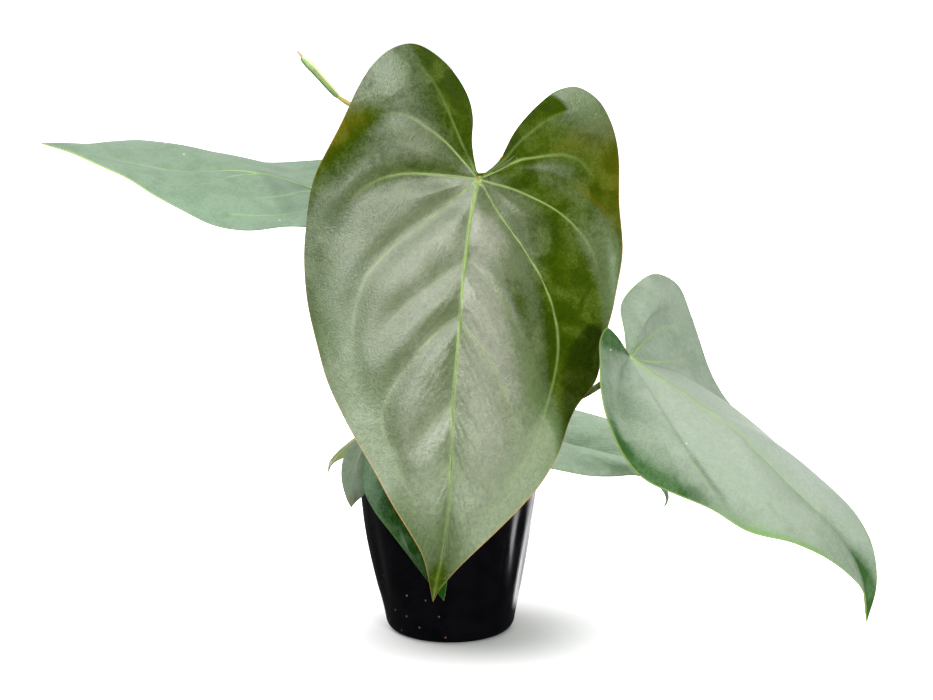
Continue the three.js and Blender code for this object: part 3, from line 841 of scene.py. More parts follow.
# The veins that fan out from the junction come first, then those that leave the midrib.
FRONT_VEINS = (
    Vein(((0, 0.27), (0.1, 0.262), (0.26, 0.238), (0.5, 0.217), (0.68, 0.212), (0.84, 0.217)), 0.5, 0.15,
          (0.4, 0.1), LEFT_ONLY),
    Vein(((0, 0.4), (0.12, 0.39), (0.25, 0.378), (0.44, 0.366), (0.6, 0.345), (0.7, 0.343), (0.76, 0.347)),
          0.6, 0.15, (0.8, 0.1), LEFT_ONLY),
    Vein(((0, 0.56), (0.12, 0.553), (0.31, 0.536), (0.42, 0.53), (0.53, 0.53), (0.61, 0.536), (0.7, 0.545)),
          0.75, 0.15, (1.0, 0.0), LEFT_ONLY),
    Vein(((0, 0.652), (0.08, 0.662), (0.21, 0.67), (0.4, 0.672), (0.55, 0.674), (0.65, 0.685),
          (0.71, 0.697), (0.76, 0.712), (0.8, 0.732), (0.85, 0.765)), 0.8, 0.15, (1.0, 0.0), LEFT_ONLY),
    Vein(((0, 0.73), (0.1, 0.732), (0.23, 0.735), (0.4, 0.733), (0.5, 0.735), (0.69, 0.738)), 0.6, 0.2,
          (0.35, 0.0), LEFT_ONLY),
    Vein(((0, 0.776), (0.16, 0.777), (0.31, 0.781), (0.49, 0.782), (0.65, 0.785), (0.76, 0.792),
          (0.79, 0.812), (0.78, 0.848), (0.71, 0.89), (0.58, 0.925)), 0.7, 0.2, (0.6, 0.1), LEFT_ONLY),
    Vein(((0, 0.849), (0.23, 0.85), (0.41, 0.853), (0.59, 0.856)), 0.5, 0.18, (0.4, 0.0), LEFT_ONLY),
    Vein(((0, 0.892), (0.3, 0.898), (0.46, 0.905)), 0.4, 0.15, (0.25, 0.0), LEFT_ONLY),
    Vein(((0, 0.1), (0.18, 0.1), (0.4, 0.1), (0.575, 0.105), (0.674, 0.146), (0.756, 0.181),
          (0.855, 0.206)), 0.5, 0.15, (0.5, 0.1), RIGHT_ONLY),
    Vein(((0, 0.22), (0.12, 0.225), (0.263, 0.235), (0.411, 0.273), (0.625, 0.297), (0.723, 0.318),
          (0.789, 0.346)), 0.6, 0.15, (0.8, 0.1), RIGHT_ONLY),
    Vein(((0, 0.575), (0.19, 0.567), (0.38, 0.553), (0.53, 0.547), (0.64, 0.546), (0.73, 0.552)), 0.7, 0.15,
          (0.9, 0.1), RIGHT_ONLY),
    Vein(((0, 0.65), (0.12, 0.667), (0.26, 0.675), (0.39, 0.68), (0.51, 0.685), (0.6, 0.69), (0.66, 0.7),
          (0.705, 0.717), (0.74, 0.738), (0.77, 0.757), (0.8, 0.785), (0.81, 0.82), (0.815, 0.855),
          (0.82, 0.89), (0.78, 0.935)), 0.8, 0.15, (1.0, 0.1), RIGHT_ONLY),
    Vein(((0, 0.725), (0.1, 0.726), (0.19, 0.73), (0.29, 0.737), (0.38, 0.74), (0.5, 0.743)), 0.5, 0.2,
          (0.35, 0.0), RIGHT_ONLY, sink=1.8),
    Vein(((0, 0.782), (0.14, 0.785), (0.26, 0.788), (0.41, 0.794), (0.56, 0.798), (0.7, 0.802)), 0.65, 0.2,
          (0.7, 0.1), RIGHT_ONLY),
    Vein(((0, 0.852), (0.19, 0.853), (0.39, 0.855), (0.56, 0.858)), 0.45, 0.18, (0.35, 0.0), RIGHT_ONLY),
    Vein(((0, 0.89), (0.31, 0.896), (0.53, 0.9)), 0.4, 0.15, (0.25, 0.0), RIGHT_ONLY),
)
PLAIN_VEINS = (
    Vein(((0, 0.26), (0.26, 0.238), (0.5, 0.217), (0.8, 0.215)), 0.6, 0.2, (0.2, 0.0)),
    Vein(((0, 0.4), (0.25, 0.378), (0.44, 0.366), (0.6, 0.345), (0.74, 0.347)), 0.7, 0.2, (0.3, 0.0)),
    Vein(((0, 0.56), (0.31, 0.538), (0.53, 0.53), (0.7, 0.548), (0.8, 0.6)), 0.8, 0.2, (0.45, 0.0)),
    Vein(((0, 0.652), (0.21, 0.67), (0.4, 0.674), (0.6, 0.684), (0.71, 0.707), (0.76, 0.74), (0.76, 0.8)),
          0.9, 0.2, (0.5, 0.0)),
    Vein(((0, 0.73), (0.4, 0.735), (0.69, 0.745)), 0.5, 0.2, (0.2, 0.0)),
    Vein(((0, 0.78), (0.3, 0.785), (0.6, 0.792)), 0.5, 0.2, (0.25, 0.0)),
    Vein(((0, 0.85), (0.4, 0.856)), 0.4, 0.2, (0.15, 0.0)),
)
RIGHT_LEAF_VEINS = (
    Vein(((0, 0.5), (0.16, 0.468), (0.31, 0.436), (0.51, 0.41), (0.69, 0.396), (0.92, 0.396)), 0.5, 0.2,
          (0.65, 0.0), RIGHT_ONLY),
    Vein(((0, 0.58), (0.19, 0.57), (0.47, 0.523), (0.66, 0.495), (0.85, 0.47), (0.95, 0.483)), 0.5, 0.2,
          (0.7, 0.0), RIGHT_ONLY),
    Vein(((0, 0.655), (0.1, 0.665), (0.2, 0.665), (0.35, 0.652), (0.48, 0.625), (0.6, 0.604), (0.75, 0.604),
          (0.88, 0.597)), 0.6, 0.2, (0.12, 0.3), LEFT_ONLY, sink=1.3),
    Vein(((0, 0.3), (0.26, 0.29), (0.3, 0.37), (0.39, 0.432)), 0.5, 0.2, (0.0, 0.0), LEFT_ONLY),
    Vein(((0, 0.74), (0.3, 0.745), (0.6, 0.74)), 0.5, 0.2, (0.1, 0.0)),
    Vein(((0, 0.82), (0.4, 0.825), (0.6, 0.83)), 0.5, 0.2, (0.1, 0.0)),
)
LEFT_LEAF_VEINS = (
    Vein(((0, 0.66), (0.05, 0.688), (0.24, 0.691), (0.4, 0.691), (0.55, 0.688)), 0.8, 0.2, (0.8, 0.1),
          RIGHT_ONLY),
    Vein(((0, 0.765), (0.19, 0.772), (0.38, 0.765), (0.54, 0.758), (0.66, 0.756)), 0.7, 0.2, (0.7, 0.1),
          RIGHT_ONLY),
    Vein(((0.8, 0.644), (0.6, 0.612), (0.4, 0.584)), 0.25, 0.15, (0.5, 0.5), RIGHT_ONLY, sink=0.0),
    Vein(((0, 0.652), (0.21, 0.67), (0.4, 0.674), (0.6, 0.684), (0.76, 0.72)), 0.8, 0.2, (0.3, 0.0),
          LEFT_ONLY),
    Vein(((0, 0.4), (0.25, 0.378), (0.5, 0.36), (0.74, 0.347)), 0.6, 0.2, (0.2, 0.0)),
    Vein(((0, 0.84), (0.4, 0.845)), 0.4, 0.2, (0.15, 0.0)),
)
# Where the front leaf's painted grey sheen is thicker or thinner than elsewhere on it; patches below 0 paint
# shade in the valleys by the veins and at the tip, and the right leaf's cast shadow on the right flank.
FRONT_PAINTED_SHEEN = Patches(
    left=((1.0, 0.26, 0.3, 0.07, 0.48), (0.62, 0.35, 0.22, 0.05, 0.5), (0.75, 0.28, 0.3, 0.06, 0.2),
          (0.33, 0.42, 0.26, 0.045, 0.5), (0.52, 0.375, 0.2, 0.04, 0.3), (0.6, 0.49, 0.6, 0.04, 0.18),
          (0.75, 0.525, 0.3, 0.03, 0.35), (0.45, 0.6, 0.3, 0.03, -0.15), (0.95, 0.5, 0.2, 0.05, 0.55),
          (0.97, 0.69, 0.16, 0.06, 0.55), (0.5, 0.36, 0.7, 0.16, 0.08), (0.45, 0.89, 0.5, 0.045, 0.5),
          (0.46, 0.46, 0.3, 0.05, 0.3), (0.88, 0.36, 0.14, 0.035, -0.5), (0.04, 0.35, 0.05, 0.3, 0.3),
          (0.9, 0.58, 0.2, 0.04, -0.4), (0.5, 0.995, 0.9, 0.045, -1.4), (1.0, 0.16, 0.15, 0.06, 0.3),
          (0.3, 0.87, 0.6, 0.09, 0.5), (0.98, 0.79, 0.25, 0.07, 0.8), (0.15, 0.71, 0.22, 0.045, 0.45),
          (0.9, 0.72, 0.2, 0.04, 0.3)),
    right=((0.9, 0.49, 0.19, 0.05, 1.6), (0.477, 0.36, 0.18, 0.045, 0.65), (0.62, 0.55, 0.16, 0.035, 0.35),
           (0.04, 0.41, 0.06, 0.12, 0.3), (0.05, 0.6, 0.12, 0.1, 0.5), (0.1, 0.695, 0.17, 0.045, 0.75),
           (0.4, 0.46, 0.2, 0.04, 0.25), (0.3, 0.8, 0.25, 0.045, 0.35), (0.76, 0.7, 0.24, 0.055, -1.1),
           (0.9, 0.66, 0.2, 0.06, -0.5), (0.5, 0.91, 0.6, 0.03, 0.4), (0.86, 0.85, 0.14, 0.04, 0.35),
           (0.2, 0.61, 0.16, 0.03, 0.3), (0.31, 0.722, 0.09, 0.014, -0.85), (0.43, 0.738, 0.1, 0.015, -0.6),
           (0.2, 0.712, 0.09, 0.013, -0.95), (0.9, 0.77, 0.15, 0.05, 0.6), (0.95, 0.205, 0.18, 0.05, 1.15),
           (1.0, 0.8, 0.2, 0.05, 0.5), (0.5, 0.995, 0.9, 0.045, -1.4), (0.95, 0.26, 0.2, 0.04, 0.15),
           (1.0, 0.15, 0.2, 0.06, 0.15), (0.4, 0.87, 0.6, 0.07, 0.75), (0.95, 0.83, 0.3, 0.07, 0.9),
           (0.15, 0.74, 0.25, 0.08, 0.75), (1.0, 0.58, 0.12, 0.06, 0.45), (0.07, 0.688, 0.1, 0.014, 0.6),
           (0.92, 0.77, 0.22, 0.045, 0.95)),
)
FRONT_FLUSH = Patches(
    left=((1.0, 0.36, 0.14, 0.035, 0.6),),
    right=((1.0, 0.33, 0.16, 0.065, 0.45), (0.756, 0.422, 0.16, 0.03, 0.5), (0.7, 0.266, 0.2, 0.03, 0.25)),
)
FRONT_RIM = Patches(
    left=((1.0, 0.78, 9.0, 0.16, 1.3), (1.0, 0.36, 9.0, 0.05, 0.5), (1.0, 0.0, 9.0, 0.02, 1.0)),
    right=((1.0, 0.82, 9.0, 0.13, 1.2), (1.0, 0.42, 9.0, 0.08, 0.8), (1.0, 0.58, 9.0, 0.07, 0.8),
           (1.0, 0.0, 9.0, 0.02, 1.0)),
)
# Where the right leaf's painted grey sheen is thicker or thinner; patches below 0 paint shade in the turned
# lobe by the notch, beside a crease and at the tip.
RIGHT_PAINTED_SHEEN = Patches(
    left=((0.95, 0.44, 0.14, 0.13, -0.9), (0.55, 0.04, 0.6, 0.1, -2.0), (0.5, 1.0, 0.9, 0.05, -1.4),
          (0.3, 0.72, 0.6, 0.14, 0.5), (1.0, 0.2, 0.3, 0.15, -0.15), (0.68, 0.628, 0.26, 0.02, -0.5),
          (0.45, 0.43, 0.3, 0.05, -0.2), (0.7, 0.62, 0.3, 0.05, 0.15)),
    right=((0.5, 1.0, 0.9, 0.06, -2.2), (0.5, 0.78, 0.7, 0.16, 0.7), (0.7, 0.3, 0.6, 0.2, 0.12),
           (0.95, 0.6, 0.25, 0.09, -0.35)),
)
WHOLE_RIM = Patches(left=((1.0, 0.5, 9.0, 2.0, 0.7),), right=((1.0, 0.5, 9.0, 2.0, 0.7),))
FULL_SIZE = 350.0
FAN_SHARE = 0.65
HUB_TO_NOTCH = 0.75
MIDRIB_TO_SIZE = 0.75
WIDEST_SHARE = 0.42
BASE_NORMAL_SHARE = 0.3
SHOWN_RIB = 0.6
ROW_BOW = ((0, 0), (0.15, -0.01), (0.19, 0.03), (0.25, 0.18), (0.36, 0.5), (0.5, 0.46), (0.65, 0.31),
           (0.85, 0.16), (1, 0))
STALK_GIRTH = ((0, 1.55), (0.06, 1.32), (0.14, 1.05), (0.3, 1.0), (1, 0.94))
STALK_STEP = 2.0
KNEE_LENGTH = 11.0
LONGEST_KNEE_SHARE = 0.3
KNEE_SWELL = 0.24
KNEE_END_TAPER = 0.12


@dataclass(frozen=True)
class LeafShape:
    """The lines that a leaf is built on, in millimetres, and how finely it is made.

    A pair of values gives the left half's first.
    """

    name: str
    bow: tuple[float, float]
    camber: float
    midrib: Points
    left: Points
    right: Points
    stalk: Points
    stalk_radius: float
    rows: int
    columns: int
    veins: tuple[Vein, ...] = PLAIN_VEINS
    spine: Vein = MIDRIB
    # painted_sheen_level, painted_sheen_from and painted_sheen: how much painted sheen the blade gets, from
    # which share on, and patches that add to it or take it away to paint shade; notch_strip marks strips by
    # the notch painted in shade.
    painted_sheen_level: float = 0.7
    painted_sheen_from: tuple[float, float] = (-1.0, -1.0)
    painted_sheen: Patches = Patches()
    # flush: patches of tan flush, or of dark green painted shade on the right leaf.
    flush: Patches = Patches()
    rim: Patches = WHOLE_RIM
    notch_strip: tuple[Points, Points] = (((0, -1), (1, -1)),) * 2
    notch_bow: tuple[Points, Points] = (((0, 0), (1, 0)),) * 2
    thickness: float = 0.8
    pillow: float = 1.5
    ripple: float = 0.3
    wave: float = 1.3
    cup: float = 0.0


@dataclass(frozen=True)
class Relief:
    """How the skin of a full-sized leaf swells and sinks, with reaches in millimetres."""

    spine_reach: float = 5.0
    vein_reach: float = 8.0
    edge_reach: float = 26.0
    hub_reach: float = 22.0
    hub_spot: tuple[float, float] = (1.2, 3.0)
    wave_scale: float = 0.03
    crease_reach: float = 24.0
    crease_count: float = 560.0
    crease_lean: float = 0.5
    crease_rows: tuple[float, float] = (0.7, 0.78)
    crease_sides: tuple[float, float] = (0.9, 2.0)
    curl_rise: tuple[float, float] = (0.68, 0.8)
    curl_fall: tuple[float, float] = (0.86, 0.98)
    curl_width: float = 0.28
    rib_taper: float = 0.8
    rib_part: float = 0.6
    least_rib: float = 0.08
    faint_sink: float = 0.45
    open_sink: float = 0.3
    paler_outs: tuple[float, float] = (0.35, 0.95)
    paler_tip: tuple[float, float] = (0.78, 0.92)
    paler_tip_share: float = 0.75
    lobe_fold: tuple[float, float] = (0.24, 0.28)
    lobe_fold_outs: tuple[float, float] = (0.5, 0.7)
    lobe_fold_reach: tuple[float, float] = (26.0, 34.0)
    # strip_fade and painted_sheen_fade soften the edges of the painted shade on the notch strips and of the
    # painted sheen.
    strip_fade: float = 0.012
    painted_sheen_fade: float = 0.08


class Leaf:
    """One leaf: a blade with its veins, and the stalk that carries it."""

    COURSE_STEPS = 48
    RELIEF = Relief()

    def __init__(self, shape: LeafShape, finish: LeafFinish, stalk_finish: StalkFinish) -> None:
        """Keeps the leaf's lines and finishes.

        Args:
            shape: Its lines.
            finish: Its blade's finish.
            stalk_finish: Its stalk's finish.
        """
        self.shape = shape
        self.finish = finish
        self.stalk_finish = stalk_finish
        foot = np.asarray(shape.midrib[0], float)
        self.hub = foot + HUB_TO_NOTCH * (np.asarray(shape.left[0]) - foot)
        self.midrib = Path([self.hub, *shape.midrib[1:]])
        self.margins = (Path(shape.left), Path(shape.right))
        self.shares = np.unique(np.append(np.linspace(0.0, 1.0, shape.rows), FAN_SHARE))
        self.outs = np.append(np.linspace(0.0, 0.97, shape.columns - 2), (0.988, 1.0))
        self.size = self.midrib.length / MIDRIB_TO_SIZE / FULL_SIZE
        self.rib_scale = 0.35 + 0.65 * self.size

    def frame(self, side: Side) -> tuple[Array, Array]:
        """The smooth blade without its quilting.

        Args:
            side: Which half.

        Returns:
            The grid of points, rows by columns by 3, and the way that each row faces.
        """
        margin, shares = side.of(self.margins), self.shares
        past = np.maximum(0.0, (shares - FAN_SHARE) / (1 - FAN_SHARE))
        start = self.midrib.at(0.8 * past + 0.2 * past**2)
        end = margin.at(shares)
        base = np.cross(margin.at(WIDEST_SHARE) - self.hub, self.midrib.at(0.1) - self.hub)
        chord = end - start
        length = np.linalg.norm(chord, axis=1, keepdims=True)
        along = unit(margin.at(np.clip(shares + 0.01, 0, 1)) - margin.at(np.clip(shares - 0.01, 0, 1)))
        facing = np.cross(unit(chord), along) * side.value + BASE_NORMAL_SHARE * unit(base) * side.value
        facing = facing - chord * np.sum(facing * chord, axis=1, keepdims=True) / np.maximum(length**2, 1e-9)
        facing = unit(facing)
        back = np.cross(chord, facing) * side.value
        bow = side.of(self.shape.bow) * line_through(ROW_BOW, shares)
        bow = bow + line_through(side.of(self.shape.notch_bow), shares)
        bend = start + 0.5 * chord + back * bow[:, None]
        out = self.outs[None, :, None]
        grid = (1 - out) ** 2 * start[:, None] + 2 * out * (1 - out) * bend[:, None] + out**2 * end[:, None]
        settle = ease(shares, 0.0, 0.06)[:, None, None]
        dome = 4 * out * (1 - out) * self.shape.camber * length[:, None] * settle
        return grid + facing[:, None] * dome, facing

    def facings(self, grid: Array, rows: Array, side: Side) -> Array:
        """The way that a blade faces at each point of a grid.

        Args:
            grid: The points.
            rows: The way that each row faces, used where the grid's cells are too thin.
            side: Which half.

        Returns:
            Vectors of length 1.
        """
        cross = np.cross(np.gradient(grid, axis=1), np.gradient(grid, axis=0)) * side.value
        trust = ease(np.linalg.norm(cross, axis=-1, keepdims=True), 0.02, 0.4)
        return unit(unit(cross) * trust + rows[:, None] * (1 - trust))

    def read(self, grid: Array, course: Array) -> Array:
        """Points of a grid at (out, share) places.

        Args:
            grid: The points of one half.
            course: The places, count by 2.

        Returns:
            The points, count by 3.
        """
        row = np.interp(course[:, 1], self.shares, np.arange(len(self.shares)))
        column = np.interp(course[:, 0], self.outs, np.arange(len(self.outs)))
        r0 = np.minimum(row.astype(int), len(self.shares) - 2)
        c0 = np.minimum(column.astype(int), len(self.outs) - 2)
        fr = (row - r0)[:, None]
        fc = (column - c0)[:, None]
        near = grid[r0, c0] * (1 - fc) + grid[r0, c0 + 1] * fc
        far = grid[r0 + 1, c0] * (1 - fc) + grid[r0 + 1, c0 + 1] * fc
        return near * (1 - fr) + far * fr

    def relief(self, grid: Array, lines: dict[Vein, Array], side: Side) -> dict[str, Array]:
        """How far each point stands proud of the smooth blade, and what it lies near.

        Args:
            grid: The points of one half.
            lines: The main veins and their lines on it.
            side: Which half.

        Returns:
            Grids of values: the rise in millimetres, and the marks that the finish reads.
        """
        shape, size, scale, form = self.shape, self.size, self.rib_scale, self.RELIEF
        out, share = self.outs[None, :], self.shares[:, None]
        flat = np.zeros(grid.shape[:2])
        to_vein, show, valley = flat + np.inf, flat, flat
        for vein, line in lines.items():
            away, along = distance_to(grid, line)
            strength = vein.shown(along)
            half = scale * (form.rib_part * vein.foot * (1 - along) ** form.rib_taper + form.least_rib)
            show = np.where(away - half < to_vein, strength, show)
            to_vein = np.minimum(to_vein, away - half)
            reach = scale * (form.spine_reach if vein is shape.spine else form.vein_reach)
            clear = form.faint_sink + (1 - form.faint_sink) * strength
            depth = clear * (1 - along**3) * vein.sink
            valley = np.maximum(valley, depth * np.exp(-((away / reach) ** 2)))
            if vein is shape.spine:
                to_midrib = away
        to_edge, _ = distance_to(grid, side.of(self.margins).line[::4])
        hub = np.linalg.norm(grid - self.hub, axis=-1)
        inside = ease(to_edge, 0.0, form.edge_reach * size)
        rise = -shape.pillow * size * valley * (form.open_sink + (1 - form.open_sink) * inside)
        waves = [noise.noise(Vector(point) * form.wave_scale) for point in grid.reshape(-1, 3)]
        rise += shape.wave * size * np.reshape(waves, flat.shape)
        curl = ease(share, *form.curl_rise) * (1 - ease(share, *form.curl_fall))
        rise += shape.cup * size * curl * np.maximum(0, (out - 1 + form.curl_width) / form.curl_width) ** 1.5
        rise *= ease(hub, 1.0, form.hub_reach * size)
        spot = 1 - ease(hub, form.hub_spot[0] * size, form.hub_spot[1] * size)
        near = np.exp(-((to_midrib / (form.crease_reach * size)) ** 2)) * ease(to_vein, 0.5, 3.0)
        creased = shape.ripple * near * ease(share, *form.crease_rows) * side.of(form.crease_sides)
        # Painted light: the notch strips get no painted sheen, which paints them in shade, and the painted
        # sheen rises past painted_sheen_from and follows the patches.
        inner = line_through(side.of(shape.notch_strip), out)
        strip = 1 - ease(share, inner, inner + form.strip_fade)
        low = side.of(shape.painted_sheen_from)
        painted_sheen = shape.painted_sheen_level * ease(share, low, low + form.painted_sheen_fade)
        painted_sheen = painted_sheen + shape.painted_sheen.at(side, out, share)
        # outwards: where the outer tint shifts the colour of the painted sheen, towards the margin and the
        # tip.
        paler = np.maximum(ease(out + flat, *form.paler_outs),
                           form.paler_tip_share * ease(share, *form.paler_tip))
        fold = (1 - ease(share, *form.lobe_fold)) * (1 - ease(out, *form.lobe_fold_outs))
        return {
            "rise": rise,
            "vein_mm": to_vein / scale,
            "vein_show": np.maximum(show, 0),
            "outwards": paler,
            "fold": fold * (1 - ease(hub, *form.lobe_fold_reach)),
            "phase": share * form.crease_count - to_midrib * form.crease_lean / size,
            "crease": creased,
            "edge_mm": to_edge * (1 - spot),
            "painted_sheen": np.clip(painted_sheen * (1 - strip), 0, 2),
            "flush": np.clip(shape.flush.at(side, out, share), 0, 1),
            "rim_show": np.clip(shape.rim.at(side, out, share) + spot, 0, 1),
        }

    def build_half(self, side: Side) -> tuple[Piece, list[Piece]]:
        """Builds one half of the blade.

        Args:
            side: Which half.

        Returns:
            The half as a sheet, and its proud veins.
        """
        shape = self.shape
        smooth_grid, rows = self.frame(side)
        facing = self.facings(smooth_grid, rows, side)
        steps = np.linspace(0.0, 1.0, self.COURSE_STEPS)
        veins = [shape.spine, *(vein for vein in shape.veins if side in vein.sides)]
        courses = {vein: Path(vein.stops).at(steps) for vein in veins}
        lines = {vein: self.read(smooth_grid, course) for vein, course in courses.items()}
        marks = self.relief(smooth_grid, lines, side)
        grid = smooth_grid + facing * marks.pop("rise")[..., None]
        half = add_sheet(shape.name + "_half", grid, **marks)
        if side is Side.LEFT:
            edit(half, bpy.ops.mesh.flip_normals)
        shown = [vein for vein in veins if side in vein.sides and vein.show[0] >= SHOWN_RIB]
        return half, [
            self.build_rib(vein, self.read(grid, courses[vein]), self.read(facing, courses[vein]))
            for vein in shown
        ]

    def build_rib(self, vein: Vein, line: Array, facing: Array) -> Piece:
        """A main vein as a slim tube, that stands proud at its foot and sinks into the skin.

        Args:
            vein: The vein.
            line: Its line on the upper skin.
            facing: The way that the skin faces along it.

        Returns:
            The tube.
        """
        share = np.linspace(0.0, 1.0, len(line))
        radius = self.rib_scale * (vein.foot + (vein.end - vein.foot) * share**0.7)
        proud = self.rib_scale * vein.proud * (1.4 * vein.shown(share) - 0.4)
        return add_tube(self.shape.name + "_rib", line - unit(facing) * (radius - proud)[:, None], radius, 8)

    def build_blade(self) -> Piece:
        """Builds the blade with its veins.

        Returns:
            The finished blade.
        """
        name = self.shape.name + "_leaf"
        halves, ribs = zip(*(self.build_half(side) for side in Side))
        ribs = [rib for side_ribs in ribs for rib in side_ribs]
        blade = join(halves, name)
        weld(blade, SEAM_WELD)
        for material in (self.finish.upper(), self.finish.lower()):
            blade.data.materials.append(material)
        thicken(blade, self.shape.thickness, -1.0, 1)
        smooth(blade, 50.0)
        rib_material = self.finish.ribs()
        for rib in ribs:
            rib.data.materials.append(rib_material)
        return join([blade, *ribs], name) if ribs else blade

    def build_stalk(self) -> Piece:
        """Builds the stalk: a clasping base, a slim middle and a swollen knee under the blade.

        Returns:
            The finished stalk.
        """
        shape = self.shape
        path = Path([*shape.stalk, self.midrib.at(0.0)])
        share = np.linspace(0.0, 1.0, max(40, int(path.length / STALK_STEP)))
        knee = 1 - min(LONGEST_KNEE_SHARE, KNEE_LENGTH / path.length)
        girth = line_through(STALK_GIRTH, share) + KNEE_SWELL * ease(share, knee - 0.02, knee + 0.03)
        girth = girth - KNEE_END_TAPER * ease(share, 0.985, 1.0)
        stalk = add_tube(shape.name + "_petiole", path.at(share), shape.stalk_radius * girth)
        stalk.data.materials.append(self.stalk_finish.material(knee))
        return stalk

    def build(self) -> None:
        """Builds the leaf and lets it stand for its CAD nodes."""
        name = self.shape.name
        take_place(self.build_blade(), name + "_leaf", name + "_blade")
        take_place(self.build_stalk(), name + "_petiole", name + "_stalk")


# Leaf lines, as in the solids

FRONT = LeafShape(
    name="front", bow=(1.0, 1.0), camber=0.05,
    midrib=((16.5, -79, 302), (14, -82, 292), (10, -90, 262), (7, -97, 225), (3, -102, 178), (1, -103, 127),
            (-3, -101, 85), (-8, -97.5, 60), (-10.5, -95.3, 45.8)),
    left=((18.8, -75, 317.5), (15.8, -73, 320), (14.8, -71.5, 327), (15.5, -69, 338), (16, -67, 349),
          (13.5, -65.5, 361), (6.5, -64, 375), (-4, -64, 387), (-18, -68, 396), (-27, -72, 397),
          (-39, -76, 392), (-52, -80, 378), (-67, -82, 348), (-84, -82, 314), (-89, -82, 287),
          (-91, -82, 259), (-86, -86, 223), (-75, -92, 184), (-57.5, -98, 153), (-39, -101, 121),
          (-23.7, -100, 93), (-16.6, -98.6, 78), (-13.2, -96.8, 64), (-11.5, -95.8, 53),
          (-10.5, -95.3, 45.8)),
    right=((18.8, -75, 317.5), (24.6, -73, 318.2), (29, -72, 322), (34.5, -69.5, 331.5),
           (39.7, -67.5, 340.5), (46, -65.5, 349), (57, -63.5, 360), (68, -62, 368), (80, -62, 370.5),
           (93, -62, 363), (102, -60, 348), (107, -58, 327), (108, -57, 295), (110, -58, 263),
           (105, -60, 232), (98, -62, 206), (93, -66, 184), (81, -72, 167), (71, -80, 145),
           (60, -85.5, 128), (46.5, -90.5, 111), (24.2, -96.5, 89), (1, -97.5, 64), (-7, -96, 53),
           (-10.5, -95.3, 45.8)),
    stalk=((2, -7, 115), (6, -20, 160), (11, -36, 220), (16, -50, 272), (18.5, -59, 298), (19, -66, 309)),
    stalk_radius=2.5, rows=200, columns=62, veins=FRONT_VEINS, painted_sheen_level=0.95, painted_sheen_from=(0.51, 0.67),
    painted_sheen=FRONT_PAINTED_SHEEN, flush=FRONT_FLUSH, rim=FRONT_RIM,
    notch_strip=(((0, 0.25), (0.25, 0.228), (0.5, 0.2125), (0.75, 0.203), (1, 0.2)),
                 ((0, 0.1), (0.5, 0.1), (0.575, 0.105), (0.674, 0.146), (0.756, 0.181), (0.82, 0.185),
                  (1, 0.14))),
    notch_bow=(((0, 0), (0.02, 0.04), (0.04, -0.09), (0.06, -0.125), (0.08, -0.106), (0.1, -0.08),
                (0.14, -0.03), (0.18, 0)),
               ((0, 0), (0.01, 0.06), (0.02, 0.12), (0.03, 0), (0.04, -0.13), (0.06, -0.19), (0.08, -0.22),
                (0.15, -0.21), (0.2, -0.22), (0.25, -0.19), (0.3, -0.23), (0.36, -0.25), (0.4, -0.13),
                (0.46, 0))),
    pillow=4.6, ripple=0.35, wave=2.0, cup=4.0,
)
RIGHT = LeafShape(
    name="right", bow=(0.4, 0.7), camber=0.04,
    midrib=((120, -74.5, 196), (143, -84, 184), (177, -94, 160), (213, -102, 125), (238, -106, 101),
            (250, -108, 86), (259, -111, 70), (263, -115, 39)),
    left=((113, -74, 202), (106, -80, 214), (99, -90, 222), (94, -105, 216), (93, -119, 206),
          (93, -130, 193), (98, -141, 171), (107, -150, 152), (118, -156, 141), (138, -160, 132),
          (160, -158, 122), (183, -152, 107), (212, -142, 97), (232, -131, 86), (250, -122, 71),
          (260, -118, 59), (263, -115, 39)),
    right=((113, -74, 202), (112, -64, 213), (110, -50, 228), (116, -36, 237), (135, -14, 246),
           (153, 2, 235), (162, 8, 214), (168, 8, 197), (177, 4, 174), (188, -6, 157), (199, -16, 145),
           (218, -28, 131), (235, -43, 118), (252, -62, 107), (263, -80, 96), (269, -94, 82),
           (270, -106, 60), (263, -115, 39)),
    stalk=((7, -4.5, 108), (24, -14, 128), (52, -32, 152), (80, -50, 168), (89, -55, 173.5), (98, -61, 181),
           (107, -66, 190)),
    stalk_radius=2.2, rows=150, columns=44, veins=RIGHT_LEAF_VEINS, spine=RIGHT_MIDRIB, painted_sheen=RIGHT_PAINTED_SHEEN,
    # Painted shade: dark green along the margins, where they turn away from the light.
    flush=Patches(
        left=((1.0, 0.66, 0.06, 0.06, 0.7), (1.0, 0.8, 0.045, 0.08, 0.8)),
        right=((1.0, 0.86, 0.04, 0.06, 0.8),),
    ),
    pillow=2.2, ripple=0.1,
)
LEFT = LeafShape(
    name="left", bow=(0.7, 0.7), camber=0.03,
    midrib=((-79, 3, 297.5), (-91, 0, 301), (-105, -3, 306), (-133, -8, 313), (-168, -13, 313),
            (-196, -18, 317), (-230, -24, 324), (-262, -32, 333)),
    left=((-70, 5, 297), (-60, 16, 302), (-46, 34, 308), (-39, 54, 313), (-46, 72, 315), (-68, 82, 315),
          (-100, 84, 312), (-125, 80, 311), (-148, 73, 314), (-175, 64, 321), (-194, 56, 325),
          (-211, 46, 329), (-227, 28, 330), (-241, 2, 330), (-252, -18, 332), (-262, -32, 333)),
    right=((-70, 5, 297), (-58, -2, 294), (-43, -14, 290), (-33, -32, 288), (-38, -50, 286),
           (-54, -63, 285), (-78, -71, 284), (-101, -75, 284), (-125, -76, 282), (-147, -74, 285),
           (-168, -69, 294), (-186, -62, 302), (-205, -52, 312), (-224, -44, 320), (-243, -38, 328),
           (-262, -32, 333)),
    stalk=((-7, 0.5, 121), (-18, 2, 150), (-38, 3, 200), (-58, 4, 250), (-69, 4, 275), (-73, 4, 287)),
    stalk_radius=2.3, rows=150, columns=44, veins=LEFT_LEAF_VEINS,
    rim=Patches(right=((1.0, 0.86, 9.0, 0.2, 1.0),)),
    pillow=1.2, ripple=0.0,
)
